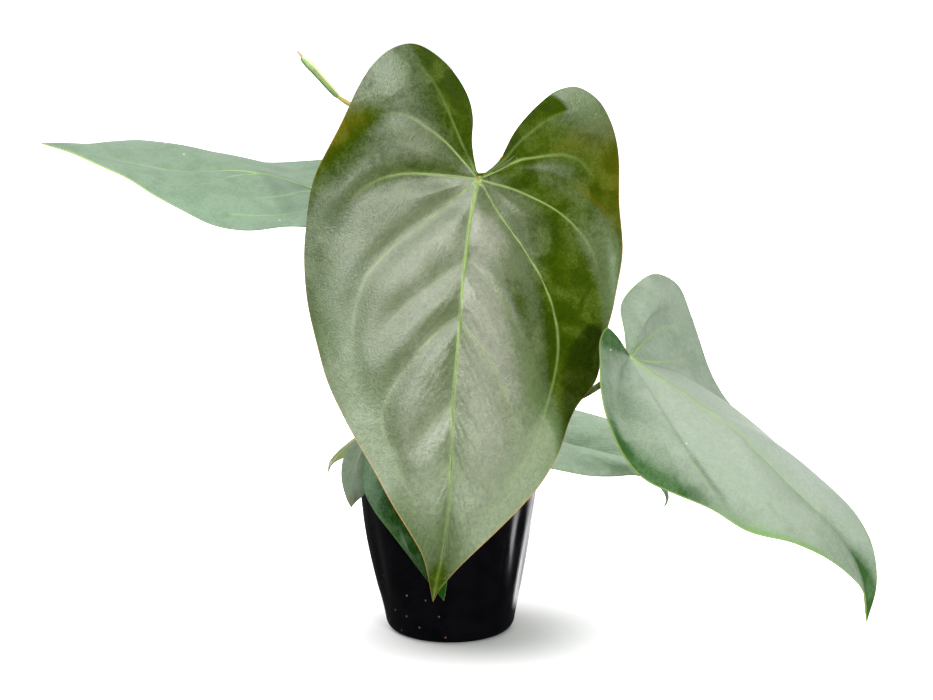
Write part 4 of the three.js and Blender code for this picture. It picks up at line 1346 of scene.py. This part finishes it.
LOW_RIGHT = LeafShape(
    name="low_right", bow=(0.55, 0.55), camber=0.05,
    midrib=((50, 24, 128.5), (65, 25, 126), (84, 26, 122), (105, 27, 117), (126, 27, 111), (141, 25, 101),
            (147.9, 24, 89), (149.8, 24, 83.5), (147.2, 24, 77)),
    left=((45, 24, 130), (40, 16, 130), (35, 4, 129), (35, -10, 126), (43, -21, 122), (56, -28, 120),
          (71, -30, 117), (90, -27, 113), (108, -18, 110), (127, -4, 107), (140, 8, 99), (146.4, 21, 90),
          (148.9, 23.6, 84), (147.2, 24, 77)),
    right=((45, 24, 130), (40, 32, 131), (36, 46, 134), (40, 60, 137), (50, 70, 139), (66, 75, 138),
           (82, 76, 137), (100, 73, 133), (116, 64, 129), (132, 52, 121), (145, 40, 109), (149.6, 28, 95),
           (149.6, 25, 89.5), (150.6, 24.4, 84), (147.2, 24, 77)),
    stalk=((5.5, 5.5, 104), (18, 12, 111), (32, 18, 117), (42, 22, 121), (46, 23.5, 124)),
    stalk_radius=1.9, rows=110, columns=32, spine=FAINT_MIDRIB,
    painted_sheen=Patches(left=((0.85, 0.74, 0.25, 0.12, -0.45),)),
)
LOW_FRONT = LeafShape(
    name="low_front", bow=(0.6, 0.6), camber=0.05,
    midrib=((-29.5, -73, 136.5), (-29, -79, 125), (-26.5, -85, 106.5), (-22, -88, 88), (-16, -88, 71.5),
            (-9, -86, 55), (-3.5, -84, 43)),
    left=((-30.5, -71, 140), (-34.5, -68, 143.5), (-41, -64, 147), (-47.5, -61, 146), (-53.5, -60, 139),
          (-56, -61, 127.5), (-55.5, -64, 111.5), (-48.5, -70, 99), (-38, -75, 86.5), (-28, -79, 74),
          (-16.5, -82, 59), (-8.5, -84, 49.5), (-3.5, -84, 43)),
    right=((-30.5, -71, 140), (-26.5, -68, 144.5), (-19.5, -65, 148), (-12, -63, 146), (-5.5, -63, 138.5),
           (-2, -65, 125), (-1.5, -69, 106), (-1.5, -75, 87.5), (-1.5, -80, 69), (-1.5, -83, 55.5),
           (-3.5, -84, 43)),
    stalk=((-4, -6.5, 103), (-12, -24, 116), (-20, -44, 130), (-26, -58, 137), (-29, -66, 138)),
    stalk_radius=1.7, rows=110, columns=32, painted_sheen_level=0.0, spine=FAINT_MIDRIB,
    painted_sheen=Patches(
        left=((0.5, 0.36, 0.9, 0.2, 1.0), (0.75, 0.76, 0.12, 0.03, 0.45)),
        right=((0.5, 0.4, 0.9, 0.22, 1.0),),
    ),
)
LOW_LEFT = LeafShape(
    name="low_left", bow=(0.4, 0.4), camber=0.08,
    midrib=((-56.5, -39.5, 133.5), (-59.5, -42, 127), (-62.5, -44, 116.5), (-64.5, -44, 107),
            (-64.5, -43, 100), (-65, -42, 94)),
    left=((-55.5, -39, 136.5), (-58, -38, 139), (-62, -36, 137.5), (-67.5, -35, 132), (-71, -35, 122.5),
          (-71.5, -37, 113.5), (-70, -40, 106), (-67.5, -42, 99), (-65, -42, 94)),
    right=((-55.5, -39, 136.5), (-52, -37, 136.5), (-49, -35, 133.5), (-47.5, -34, 126.5),
           (-48.5, -35, 117), (-51.5, -38, 108), (-57.5, -41, 101.5), (-62, -42, 97.5), (-65, -42, 94)),
    stalk=((-7, -3.5, 101), (-26, -13, 116), (-42, -21, 128), (-51, -27, 132), (-55.5, -33, 131.5)),
    stalk_radius=1.4, rows=70, columns=22, spine=FAINT_MIDRIB,
    flush=Patches(left=((0.5, 1.0, 0.9, 0.1, 0.8),), right=((0.5, 1.0, 0.9, 0.1, 0.8),)),
    thickness=0.7,
)
CURLED = LeafShape(
    name="curled", bow=(0.3, 0.3), camber=0.06,
    midrib=((-54.5, -0.5, 134.3), (-59.5, -2, 133), (-66, -4, 130), (-72, -6, 125), (-78, -5, 119),
            (-81.3, -5, 114.8), (-82.6, -6, 109.5)),
    left=((-52.5, 0, 135), (-51.5, 5, 135.5), (-54, 12, 134), (-60.5, 17, 130.5), (-66, 16, 128),
          (-73, 11, 123.5), (-79, 4, 118.5), (-82, -1, 115.3), (-82.6, -6, 109.5)),
    right=((-52.5, 0, 135), (-51, -4, 133.5), (-51.5, -10, 130.5), (-56, -14, 127.5), (-63, -15, 126),
           (-69, -14, 122.5), (-76, -12, 119), (-80.4, -9, 115), (-82.6, -6, 109.5)),
    stalk=((-7.5, -1, 110), (-28, -2, 116), (-44, -1.5, 122), (-51, 0, 129)),
    stalk_radius=1.4, rows=70, columns=22, spine=FAINT_MIDRIB, thickness=0.7,
)


@dataclass(frozen=True)
class RolledLeaf:
    """The youngest leaf, still rolled up lengthwise at the end of its stalk."""

    blade: Points = ((-74, 13, 360), (-80, 11.5, 367), (-87.5, 10, 375.5), (-95, 8, 384), (-100, 6, 390))
    stalk: Points = ((0, 3, 124), (-6, 6, 180), (-16, 8, 250), (-30, 10, 305), (-48, 11, 338),
                     (-60, 12, 351.5), (-68, 12.5, 356), (-74, 13, 360))
    girth: Points = ((0, 0.55), (0.05, 0.8), (0.18, 1.0), (0.45, 1.0), (0.72, 1.02), (0.81, 0.97),
                     (0.862, 0.7), (0.877, 0.24), (1, 0.07))
    stalk_girth: Points = ((0, 1.55), (0.06, 1.3), (0.14, 1.05), (0.3, 1.0), (0.93, 0.92))
    radius: float = 2.5
    stalk_radius: float = 1.5
    turns: float = 1.9
    layer: float = 0.45
    midrib_angle: float = 0.7
    knee: float = 0.93
    knee_swell: float = 0.16
    end_taper: float = 0.2
    sheet: float = 0.4
    core: float = 0.35
    twist: float = 0.5
    green: Colour = (0.26, 0.42, 0.15)
    light: Colour = (0.38, 0.55, 0.22)
    # shade: the colour of the painted shade on the far side of the roll.
    shade: Colour = (0.09, 0.15, 0.02)
    cream: Colour = (0.88, 0.84, 0.46)
    pink: Colour = (0.48, 0.30, 0.16)
    stalk_finish: StalkFinish = StalkFinish("rolled_stalk_skin", (0.20, 0.17, 0.04), (0.13, 0.10, 0.025),
                                            (0.52, 0.43, 0.11))

    def build_blade(self) -> Piece:
        """Rolls a sheet up into a spiral round the blade's line, thin at both ends.

        Returns:
            The finished blade.
        """
        share = np.linspace(0.0, 1.0, 90)
        centre = Path(self.blade).at(share)
        tangent = unit(np.gradient(centre, axis=0))
        right = unit(np.cross(tangent, (0.0, -1.0, 0.0)))
        front = np.cross(right, tangent)
        whole = self.turns * FULL_TURN
        turn = np.linspace(0.0, whole, 120)
        radius = self.radius - self.layer * (whole - turn) / FULL_TURN
        reach = line_through(self.girth, share)[:, None] * np.maximum(radius, self.core)[None, :]
        angle = turn[None, :] + self.twist * share[:, None]
        ring = right[:, None] * np.cos(angle)[..., None] + front[:, None] * np.sin(angle)[..., None]
        outer = angle - FULL_TURN * (self.turns - 1)
        away = np.abs(np.mod(outer - self.midrib_angle + math.pi, FULL_TURN) - math.pi)
        along = share[:, None] * np.ones_like(angle)
        blade = add_sheet("rolled_leaf", centre[:, None] + ring * reach[..., None], away=away, along=along)
        thicken(blade, self.sheet)
        smooth(blade, 50.0)
        blade.data.materials.append(self.blade_material())
        return blade

    def blade_material(self) -> Material:
        """Green skin with a broad cream midrib along one side, painted shade on the far side of the roll and
        a pinkish tip.

        Returns:
            The material.
        """
        skin = Skin("rolled_leaf_skin")
        patches = skin.mottle(160.0)
        away = skin.mark("away")
        # Painted shade: the side of the roll that faces away from the midrib is darkened to the shade
        # colour.
        colour = skin.mix(skin.spread(away, 1.8, 2.5), skin.mix(patches, self.green, self.light), self.shade)
        colour = skin.mix(skin.spread(away, 0.8, 1.3, 1.0, 0.0), colour, self.cream)
        colour = skin.mix(skin.spread(skin.mark("along"), 0.86, 0.9), colour, self.pink)
        grain = skin.felt(800.0)["Height"]
        return skin.dress(colour, 0.4, skin.bump(grain, 0.12))

    def build(self) -> None:
        """Builds the rolled blade and its slim stalk."""
        take_place(self.build_blade(), "rolled_leaf", "rolled_blade")
        share = np.linspace(0.0, 1.0, 150)
        girth = line_through(self.stalk_girth, share) + self.knee_swell * ease(share, 0.92, 0.95)
        girth = girth - self.end_taper * ease(share, 0.98, 1.0)
        stalk = add_tube("rolled_petiole", Path(self.stalk).at(share), self.stalk_radius * girth, 14)
        stalk.data.materials.append(self.stalk_finish.material(self.knee))
        take_place(stalk, "rolled_petiole", "rolled_stalk")


# Pot, mix and stem

@dataclass(frozen=True)
class Dent:
    """Where the pot's soft wall is pressed in: directions in degrees, lengths in millimetres."""

    toward: float
    width: float
    depth: float
    height: float
    span: float = 34.0


@dataclass(frozen=True)
class NurseryPot:
    """A soft black film pot, wider at the top, with a rounded foot, a turned lip and drain holes."""

    height: float = 108.0
    top_radius: float = 60.0
    base_radius: float = 42.5
    foot_radius: float = 8.0
    wall: float = 1.0
    floor: float = 1.4
    lip_height: float = 6.0
    lip_proud: float = 1.6
    dent_fade: float = 30.0
    drain_count: int = 6
    drain_radius: float = 4.0
    drain_circle: float = 25.0
    sides: int = 360
    fold_count: int = 46
    fold_seed: int = 11
    fold_width: float = 3.0
    fold_lean: float = 0.005
    fold_ranges: Points = ((-180, 180), (0.7, 2.2), (-0.35, 0.55), (25, 95), (14, 40))
    lip_stiffness: float = 0.75
    dents: tuple[Dent, ...] = (
        Dent(-32, 9, 2.4, 74), Dent(-14, 7, 1.6, 46), Dent(28, 14, 2.0, 60), Dent(96, 12, 2.2, 50),
        Dent(150, 8, 1.5, 70), Dent(206, 8, 1.8, 58), Dent(238, 7, 1.3, 40),
        Dent(180, 40, -4.2, 66, 45), Dent(0, 30, -1.3, 50, 40),
    )
    film: tuple[Colour, Colour] = ((0.0009, 0.0009, 0.0014), (0.0018, 0.0017, 0.0026))
    crumb: Colour = (0.13, 0.055, 0.02)
    gloss_tint: Colour = (0.88, 0.86, 1.0)

    def radius_at(self, z: Array | float) -> Array | float:
        """The outer radius at a height, before dents."""
        return self.base_radius + (self.top_radius - self.base_radius) * z / self.height

    def folds(self) -> list[Dent]:
        """Fine upright creases in the film, drawn with a fixed seed.

        Returns:
            The creases, as narrow dents.
        """
        draw = np.random.default_rng(self.fold_seed)
        return [Dent(*(draw.uniform(*span) for span in self.fold_ranges)) for _ in range(self.fold_count)]

    def pressed(self, angle: Array, z: Array) -> Array:
        """How far the wall is pressed in.

        Args:
            angle: Directions in degrees.
            z: Heights.

        Returns:
            The depths, less towards the foot and the lip.
        """
        total = np.zeros(np.broadcast(angle, z).shape)
        for dent in (*self.dents, *self.folds()):
            lean = self.fold_lean * dent.width * (z - dent.height) * (dent.width < self.fold_width)
            off = np.mod(angle - dent.toward - lean + 540, 360) - 180
            across = np.exp(-((off / dent.width) ** 2))
            total += dent.depth * across * np.exp(-(((z - dent.height) / dent.span) ** 2))
        lip = 1 - self.lip_stiffness * ease(z, self.height - 9, self.height - 3)
        return total * np.minimum(1.0, z / self.dent_fade) * lip

    def corner(self, inset: float, floor: float) -> list[tuple[float, float]]:
        """The rounded corner between a floor and a wall.

        Args:
            inset: How far inside the outer surface it lies.
            floor: The floor's height.

        Returns:
            Its (radius, z) points, from the floor up.
        """
        radius = self.foot_radius - inset
        centre = self.radius_at(self.foot_radius) - self.foot_radius
        turns = np.radians(np.linspace(0, 84, 9))
        return [(centre + radius * math.sin(t), floor + radius * (1 - math.cos(t))) for t in turns]

    def profile(self) -> Array:
        """The pot's section, from the middle underneath to the middle inside.

        Returns:
            Its (radius, z) points.
        """
        foot = self.height - self.lip_height
        rise = np.linspace(12, foot, 46)
        low, top = self.lip_proud, self.top_radius + self.lip_proud
        inside = self.top_radius - self.wall
        bead = [
            (self.radius_at(foot) + 0.7 * low, foot + 0.3), (self.radius_at(foot) + low, foot + 1.0),
            (self.radius_at(foot + 2) + low, foot + 2.0), (self.radius_at(foot + 4) + low, foot + 4.0),
            (top, self.height - 0.9), (top - 0.3, self.height - 0.3), (top - 0.9, self.height),
            (inside + 0.3, self.height), (inside, self.height - 0.4),
        ]
        outer = [(self.radius_at(z), z) for z in rise]
        inner = [(self.radius_at(z) - self.wall, z) for z in rise[::-1]]
        floor = [(radius, 0.0) for radius in (0.0, 10.5, 21.0)]
        lifted = [(radius, self.floor) for radius, _ in reversed(floor)]
        return np.array([*floor, *self.corner(0.0, 0.0), *outer, *bead, *inner,
                         *reversed(self.corner(self.wall, self.floor)), *lifted])

    def build(self) -> None:
        """Builds the pot: the section carried round, dented, and drilled."""
        radius, z = (self.profile()[:, [k]] * np.ones((1, self.sides + 1)) for k in (0, 1))
        angle = np.linspace(-180, 180, self.sides + 1)[None, :]
        wall = radius > self.drain_circle + self.drain_radius
        radius = radius - np.where(wall, self.pressed(angle, z), 0.0)
        pot = add_closed("nursery_pot", around(radius, np.radians(angle), z))
        for k in range(self.drain_count):
            self.drill(pot, FULL_TURN * k / self.drain_count)
        smooth(pot, 32.0)
        pot.data.materials.append(self.material())
        take_place(pot, "pot_film", "pot")

    def drill(self, pot: Piece, turn: float) -> None:
        """Cuts a drain hole in the floor.

        Args:
            pot: The pot.
            turn: The hole's direction in radians.
        """
        circle = self.drain_circle * MM
        drill = added(
            bpy.ops.mesh.primitive_cylinder_add, vertices=28, radius=self.drain_radius * MM,
            depth=4 * self.floor * MM, location=(circle * math.cos(turn), circle * math.sin(turn), 0),
        )
        cut = pot.modifiers.new("drain", "BOOLEAN")
        cut.operation = "DIFFERENCE"
        cut.solver = "EXACT"
        cut.object = drill
        make_active(pot)
        bpy.ops.object.modifier_apply(modifier=cut.name)
        bpy.data.objects.remove(drill)

    def material(self) -> Material:
        """Glossy black film with faint scuffs and a few brown crumbs of soil near the foot.

        Returns:
            The material.
        """
        skin = Skin("black_film")
        x, _, z = skin.axes(skin.place)
        zone = skin.times(skin.spread(z, 0.03, 0.06, 1.0, 0.0), skin.spread(x, -0.015, 0.01, 1.0, 0.1))
        crumbs = skin.specks(240.0, 0.17, 0.35)
        crumbs = skin.times(skin.math("GREATER_THAN", zone, 0.3), crumbs)
        tone = skin.mottle(60.0)
        rough = skin.math("MAXIMUM", skin.spread(tone, 0.0, 1.0, 0.16, 0.24), skin.times(crumbs, 0.9))
        grain = skin.felt(120.0)["Height"]
        return skin.dress(
            skin.mix(crumbs, skin.mix(tone, *self.film), self.crumb), rough,
            skin.bump(grain, 0.12, skin.bump(crumbs, 0.5)),
            (("Specular IOR Level", 0.4), ("Specular Tint", self.gloss_tint)),
        )


@dataclass(frozen=True)
class BarkMix:
    """The coarse bark that fills the pot, with loose chips on top of it."""

    top: float = 94.5
    near: float = 11.0
    far: float = 50.0
    chip_count: int = 300
    shapes: int = 6
    seed: int = 23
    sizes: Points = ((8, 14), (5, 8), (2.2, 4.2))
    corner_cut: float = 0.16
    breakage: float = 0.055
    tilt: float = 0.35
    lift: float = 1.6
    brown: tuple[Colour, Colour] = ((0.055, 0.026, 0.012), (0.17, 0.085, 0.038))
    dust: Colour = (0.26, 0.16, 0.085)

    def material(self) -> Material:
        """Dry brown bark, with paler dust in patches.

        Returns:
            The material.
        """
        skin = Skin("dry_bark")
        broad = skin.mottle(95.0)
        felt = skin.felt(420.0)
        bark = skin.mix(skin.times(felt["Tone"], 0.5), skin.mix(broad, *self.brown), self.dust)
        return skin.dress(bark, 0.9, skin.bump(felt["Height"], 0.9))

    def chip(self, draw: np.random.Generator) -> Piece:
        """One chip: a slab with broken edges, of a few dozen faces.

        Args:
            draw: Where its random numbers come from.

        Returns:
            The chip.
        """
        chip = added(bpy.ops.mesh.primitive_cube_add, size=1.0)
        edit(chip, bpy.ops.mesh.subdivide, number_cuts=1)
        size = np.array([draw.uniform(*span) for span in self.sizes])
        for vertex in chip.data.vertices:
            place = np.array(vertex.co) * (1 - self.corner_cut * np.sum(np.abs(vertex.co)))
            vertex.co = (place + draw.normal(0, self.breakage, 3)) * size * MM
        return chip

    def strew(self, kind: Piece, draw: np.random.Generator) -> Piece:
        """Lays a copy of a chip somewhere on the mix.

        Args:
            kind: The chip.
            draw: Where its random numbers come from.

        Returns:
            The copy.
        """
        turn = draw.uniform(0, FULL_TURN)
        out = self.near + (self.far - self.near) * math.sqrt(draw.uniform())
        lift = self.top + self.lift + draw.uniform(0, 2.4) + 1.2 * math.sin(turn * 2)
        make_active(kind)
        bpy.ops.object.duplicate(linked=False)
        chip = bpy.context.selected_objects[0]
        chip.location = (out * math.cos(turn) * MM, out * math.sin(turn) * MM, lift * MM)
        tilts = draw.normal(0, self.tilt), draw.normal(0, self.tilt)
        chip.rotation_euler = (*tilts, draw.uniform(0, FULL_TURN))
        return chip

    def build(self) -> None:
        """Strews copies of a few chips over the mix and dresses both."""
        bark = self.material()
        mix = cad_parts["potting_mix"]
        mix.data.materials.clear()
        mix.data.materials.append(bark)
        draw = np.random.default_rng(self.seed)
        kinds = [self.chip(draw) for _ in range(self.shapes)]
        chips = [self.strew(kinds[k % self.shapes], draw) for k in range(self.chip_count)]
        for kind in kinds:
            bpy.data.objects.remove(kind)
        pile = join(chips, "bark_chips")
        bpy.ops.object.transform_apply(location=True, rotation=True, scale=True)
        smooth(pile, 30.0)
        pile.data.materials.append(bark)
        take_place(pile, "bark_mix")


@dataclass(frozen=True)
class Stem:
    """The short knobbly stem, ringed with leaf scars and wrapped in papery remains of old sheaths."""

    foot: float = 64.0
    top: float = 128.0
    radius: float = 8.6
    nodes: int = 7
    sheath_count: int = 9
    sheath_step: float = 3.0
    sheath_turn: float = 2.4
    cork: tuple[Colour, Colour] = ((0.10, 0.105, 0.035), (0.21, 0.155, 0.07))
    scar: Colour = (0.06, 0.045, 0.02)
    fibre: tuple[Colour, Colour] = ((0.16, 0.085, 0.035), (0.42, 0.29, 0.15))

    def radius_at(self, z: Array) -> Array:
        """The stem's radius at a height: swollen at each node, slimmer towards the top."""
        part = (z - self.foot) / ((self.top - self.foot) / self.nodes)
        return (self.radius - 0.9 + 1.3 * np.sin(math.pi * np.mod(part, 1.0)) ** 2) * (1 - 0.035 * part)

    def build(self) -> None:
        """Builds the stem and its sheaths."""
        z = np.linspace(self.foot, self.top, 90)
        radii = self.radius_at(z) * (1 - 0.45 * ease(z, self.top - 6, self.top))
        grid = tube_grid(np.outer(z, (0.0, 0.0, 1.0)), radii, 48)
        lumps = [noise.noise(Vector(point) * 0.22) for point in grid.reshape(-1, 3)]
        grid = grid + unit(grid * (1, 1, 0)) * 0.7 * np.reshape(lumps, grid.shape[:2])[..., None]
        trunk = add_closed("stem_trunk", grid)
        smooth(trunk, 60.0)
        trunk.data.materials.append(self.trunk_material())
        papery = self.sheath_material()
        sheaths = [self.sheath(k) for k in range(self.sheath_count)]
        for sheath in sheaths:
            sheath.data.materials.append(papery)
        take_place(join([trunk, *sheaths], "knobbly_stem"), "stem_bark", "stem")

    def sheath(self, number: int) -> Piece:
        """A papery strip that clasps the stem and frays out to a point.

        Args:
            number: Which one, counted from the lowest.

        Returns:
            The strip.
        """
        low = self.top - 30 + self.sheath_step * number
        share = np.linspace(0.0, 1.0, 14)[:, None]
        across = np.linspace(-1.0, 1.0, 9)[None, :]
        angle = self.sheath_turn * number + across * 0.75 * (1 - share) ** 0.7
        flare = 0.6 + 5.5 * share**2 + 0.5 * np.sin(5 * across + number) * share
        radius = self.radius_at(np.full(1, low + 4))[0] + flare
        strip = add_sheet("stem_sheath", around(radius, angle, low + 21 * share - 3 * across**2))
        thicken(strip, 0.35)
        smooth(strip, 50.0)
        return strip

    def trunk_material(self) -> Material:
        """Green-brown corky skin with darker scars.

        Returns:
            The material.
        """
        skin = Skin("stem_skin")
        patches = skin.mottle(180.0)
        felt = skin.felt(420.0)
        colour = skin.mix(skin.times(felt["Tone"], 0.35), skin.mix(patches, *self.cork), self.scar)
        return skin.dress(colour, 0.75, skin.bump(felt["Height"], 0.7))

    def sheath_material(self) -> Material:
        """Dry brown fibre, streaked upwards.

        Returns:
            The material.
        """
        skin = Skin("papery_sheath")
        mapping = skin.add("ShaderNodeMapping")
        skin.feed(mapping.inputs["Vector"], skin.place)
        mapping.inputs["Scale"].default_value = (1.0, 1.0, 0.12)
        felt = skin.felt(900.0, mapping.outputs[0])
        return skin.dress(skin.mix(felt["Tone"], *self.fibre), 0.8, skin.bump(felt["Height"], 0.4))


# Studio

@dataclass(frozen=True)
class SoftLight:
    """A square soft light that looks at a point, with places in millimetres."""

    name: str
    place: Point
    toward: Point
    size: float
    power: float
    height: Optional[float] = None
    glossy: bool = True

    def add(self) -> None:
        """Adds the light to the scene."""
        data = bpy.data.lights.new(self.name, "AREA")
        data.energy = self.power
        data.shape = "RECTANGLE"
        data.size = self.size * MM
        data.size_y = (self.height or self.size) * MM
        light = bpy.data.objects.new(self.name, data)
        bpy.context.scene.collection.objects.link(light)
        light.visible_glossy = self.glossy
        light.location = Vector(self.place) * MM
        light.rotation_euler = (Vector(self.toward) - Vector(self.place)).to_track_quat("-Z", "Y").to_euler()


@dataclass(frozen=True)
class Studio:
    """The pale floor, the soft lights and the camera at the photograph's angle."""

    target: Point = (11.0, 0.0, 192.0)
    distance: float = 1400.0
    elevation: float = 10.0
    focal_pixels: float = 2090.0
    image_width: float = 933.0
    sensor: float = 36.0
    floor_reach: float = 9000.0
    # floor_near, floor_far, floor_glow and floor_middle shape the floor's painted glow round a soft shadow
    # by the pot.
    floor_near: float = 38.0
    floor_far: float = 118.0
    floor_glow: float = 0.5
    floor_middle: Point = (16.0, -6.0, 0.0)
    floor_tone: Colour = (0.64, 0.64, 0.64)
    # glossy_tone: the dark that the floor shows in reflections, a painted dark reflection.
    glossy_tone: Colour = (0.03, 0.03, 0.03)
    lights: tuple[SoftLight, ...] = (
        SoftLight("front_box", (-300, -1390, 860), (0, -60, 220), 1300, 18, height=1250),
        SoftLight("right_key", (650, -1518, 331), (0, -60, 220), 150, 24, glossy=False),
        SoftLight("left_top", (-780, 60, 1250), (0, 0, 100), 1000, 9),
        SoftLight("right_top", (550, 450, 1350), (60, 0, 150), 1200, 9),
        SoftLight("right_strip", (520, 1000, 110), (0, 0, 60), 260, 0.7, height=200),
        SoftLight("left_strip", (-520, 1000, 110), (0, 0, 60), 100, 1.0, height=200),
    )

    def add_camera(self) -> None:
        """Adds the camera, turned to its target."""
        data = bpy.data.cameras.new("photo_camera")
        data.sensor_width = self.sensor
        data.lens = self.focal_pixels / self.image_width * self.sensor
        data.clip_end = 50.0
        camera = bpy.data.objects.new("photo_camera", data)
        bpy.context.scene.collection.objects.link(camera)
        tilt = math.radians(self.elevation)
        away = Vector((0.0, -math.cos(tilt), math.sin(tilt))) * self.distance
        camera.location = (Vector(self.target) + away) * MM
        camera.rotation_euler = (-away).to_track_quat("-Z", "Y").to_euler()
        bpy.context.scene.camera = camera

    def add_floor(self) -> None:
        """Adds the pale floor: it glows white beyond a soft shadow round the pot, a painted light; glossy
        rays see it dark, with a painted glow behind the pot.
        """
        floor = added(bpy.ops.mesh.primitive_plane_add, size=2 * self.floor_reach * MM)
        floor.name = "pale_floor"
        skin = Skin("pale_floor")
        ray = skin.add("ShaderNodeLightPath").outputs
        away = skin.add("ShaderNodeVectorMath", operation="DISTANCE")
        skin.feed(away.inputs[0], skin.place)
        away.inputs[1].default_value = Vector(self.floor_middle) * MM
        reach, near, far = away.outputs["Value"], self.floor_near * MM, self.floor_far * MM
        # Painted light: past floor_near the floor glows for the camera, rising to white past floor_far, so
        # only a soft shadow by the pot is left.
        glow = skin.times(skin.math("POWER", skin.spread(reach, near, far), 0.8), self.floor_glow)
        glow = skin.times(skin.plus(glow, skin.spread(reach, far, 2.4 * far)), ray["Is Camera Ray"])
        # Painted reflection: glossy rays see a glow on the floor behind the pot, which draws the pot's edge
        # highlights, and see the rest of the floor dark.
        x, y, _ = skin.axes(skin.place)
        behind = skin.math("DIVIDE", skin.plus(y, skin.times(x, 0.6)), reach)
        sheen = skin.times(skin.spread(behind, 0.94, 1.06, 0.0, 1.9), skin.spread(reach, 0.05, 0.08))
        sheen = skin.times(sheen, ray["Is Glossy Ray"])
        tone = skin.mix(ray["Is Glossy Ray"], self.floor_tone, self.glossy_tone)
        floor.data.materials.append(skin.dress(tone, 0.9, more=(
            ("Specular IOR Level", 0.1), ("Emission Color", (1.0, 1.0, 1.0)),
            ("Emission Strength", skin.plus(glow, sheen)),
        )))

    def add_world(self) -> None:
        """Surrounds the plant with white for the camera and softer, front-dark light for its gloss."""
        world = bpy.data.worlds.new("studio_surround")
        world.use_nodes = True
        bpy.context.scene.world = world
        graph = Graph(world.node_tree)
        _, y, z = graph.axes(graph.add("ShaderNodeTexCoord").outputs["Generated"])
        behind, above = graph.spread(y, -0.3, 0.4, 0.03, 1.2), graph.spread(z, 0.4, 0.9, 0.0, 0.8)
        level = graph.math("MAXIMUM", behind, above)
        seen = graph.add("ShaderNodeLightPath").outputs["Is Camera Ray"]
        strength = graph.add("ShaderNodeMix", data_type="FLOAT")
        for number, value in ((0, seen), (2, level), (3, 1.05)):
            graph.feed(strength.inputs[number], value)
        backdrop = graph.wired("ShaderNodeBackground", (1.0, 1.0, 1.0), strength.outputs[0])
        graph.feed(graph.add("ShaderNodeOutputWorld").inputs["Surface"], backdrop)

    def build(self) -> None:
        """Sets up the whole studio."""
        bpy.context.scene.view_settings.view_transform = "Standard"
        self.add_camera()
        self.add_floor()
        self.add_world()
        for light in self.lights:
            light.add()


SAGE = LeafFinish("sage_leaf", bend=1.7)
# GREY_GREEN's flush colour is the dark green of painted shade along the right leaf's margin.
GREY_GREEN = LeafFinish(
    "grey_green_leaf", deep=(0.020, 0.060, 0.013), light=(0.036, 0.085, 0.024), painted_sheen=(0.208, 0.258, 0.192),
    painted_strong_sheen=(0.30, 0.345, 0.30), vein=(0.20, 0.34, 0.07), rim=(0.20, 0.28, 0.06), flush=(0.09, 0.22, 0.035),
    outer=(1, 1, 1), gloss=0.35, roughness=0.6, grain_mm=0.1, fuzz=0.04, speckle=0.05, dust=0.05,
)
PALE_GREEN = LeafFinish(
    "pale_green_leaf", deep=(0.055, 0.105, 0.045), light=(0.075, 0.130, 0.065), painted_sheen=(0.150, 0.230, 0.148),
    painted_strong_sheen=(0.20, 0.28, 0.20), vein=(0.22, 0.38, 0.13), rim=(0.30, 0.42, 0.10), flush=(0.06, 0.15, 0.02),
    outer=(1.1, 1.08, 1.12), gloss=0.4, roughness=0.55, grain_mm=0.1, fuzz=0.04, speckle=0.05, dust=0.08,
)
MIST_GREEN = LeafFinish(
    "mist_green_leaf", deep=(0.060, 0.115, 0.050), light=(0.080, 0.145, 0.070), painted_sheen=(0.335, 0.455, 0.32),
    painted_strong_sheen=(0.33, 0.44, 0.31), vein=(0.20, 0.34, 0.14), rim=(0.16, 0.26, 0.10), flush=(0.06, 0.15, 0.02),
    outer=(1, 1, 1), gloss=0.4, roughness=0.55, grain_mm=0.1, fuzz=0.04, speckle=0.04,
)
DARK_GREEN = LeafFinish(
    "dark_leaf", deep=(0.008, 0.036, 0.003), light=(0.016, 0.055, 0.008), painted_sheen=(0.135, 0.220, 0.130),
    painted_strong_sheen=(0.14, 0.19, 0.12), vein=(0.03, 0.10, 0.012), rim=(0.06, 0.13, 0.03), flush=(0.02, 0.05, 0.01),
    outer=(1, 1, 1), gloss=0.3, roughness=0.5, grain_mm=0.1, speckle=0.08,
)
SMALL_GREEN = LeafFinish(
    "small_leaf", deep=(0.045, 0.085, 0.03), light=(0.075, 0.12, 0.055), painted_sheen=(0.21, 0.28, 0.195),
    vein=(0.14, 0.22, 0.07), rim=(0.14, 0.18, 0.06), flush=(0.07, 0.06, 0.015),
    outer=(1, 1, 1), grain_mm=0.15, fuzz=0.04, speckle=0.06,
)
LIGHT_GREEN = LeafFinish(
    "light_leaf", deep=(0.10, 0.17, 0.02), light=(0.15, 0.23, 0.035), painted_sheen=(0.165, 0.215, 0.04),
    vein=(0.28, 0.36, 0.10), rim=(0.24, 0.28, 0.08), flush=(0.2, 0.2, 0.04),
    outer=(1, 1, 1), gloss=0.4, grain_mm=0.15, fuzz=0.04, speckle=0.06,
)
PETIOLE = StalkFinish("stalk_skin")


def main() -> None:
    """Builds the studio and the plant, piece by piece."""
    Studio().build()
    leaves = (
        (FRONT, SAGE), (RIGHT, GREY_GREEN), (LEFT, PALE_GREEN), (LOW_RIGHT, MIST_GREEN),
        (LOW_FRONT, DARK_GREEN), (LOW_LEFT, SMALL_GREEN), (CURLED, LIGHT_GREEN),
    )
    for shape, finish in leaves:
        Leaf(shape, finish, PETIOLE).build()
    for piece in (RolledLeaf(), NurseryPot(), BarkMix(), Stem()):
        piece.build()


if __name__ == "__main__":
    logging.basicConfig(level=logging.INFO, format="%(name)s %(message)s")
    main()
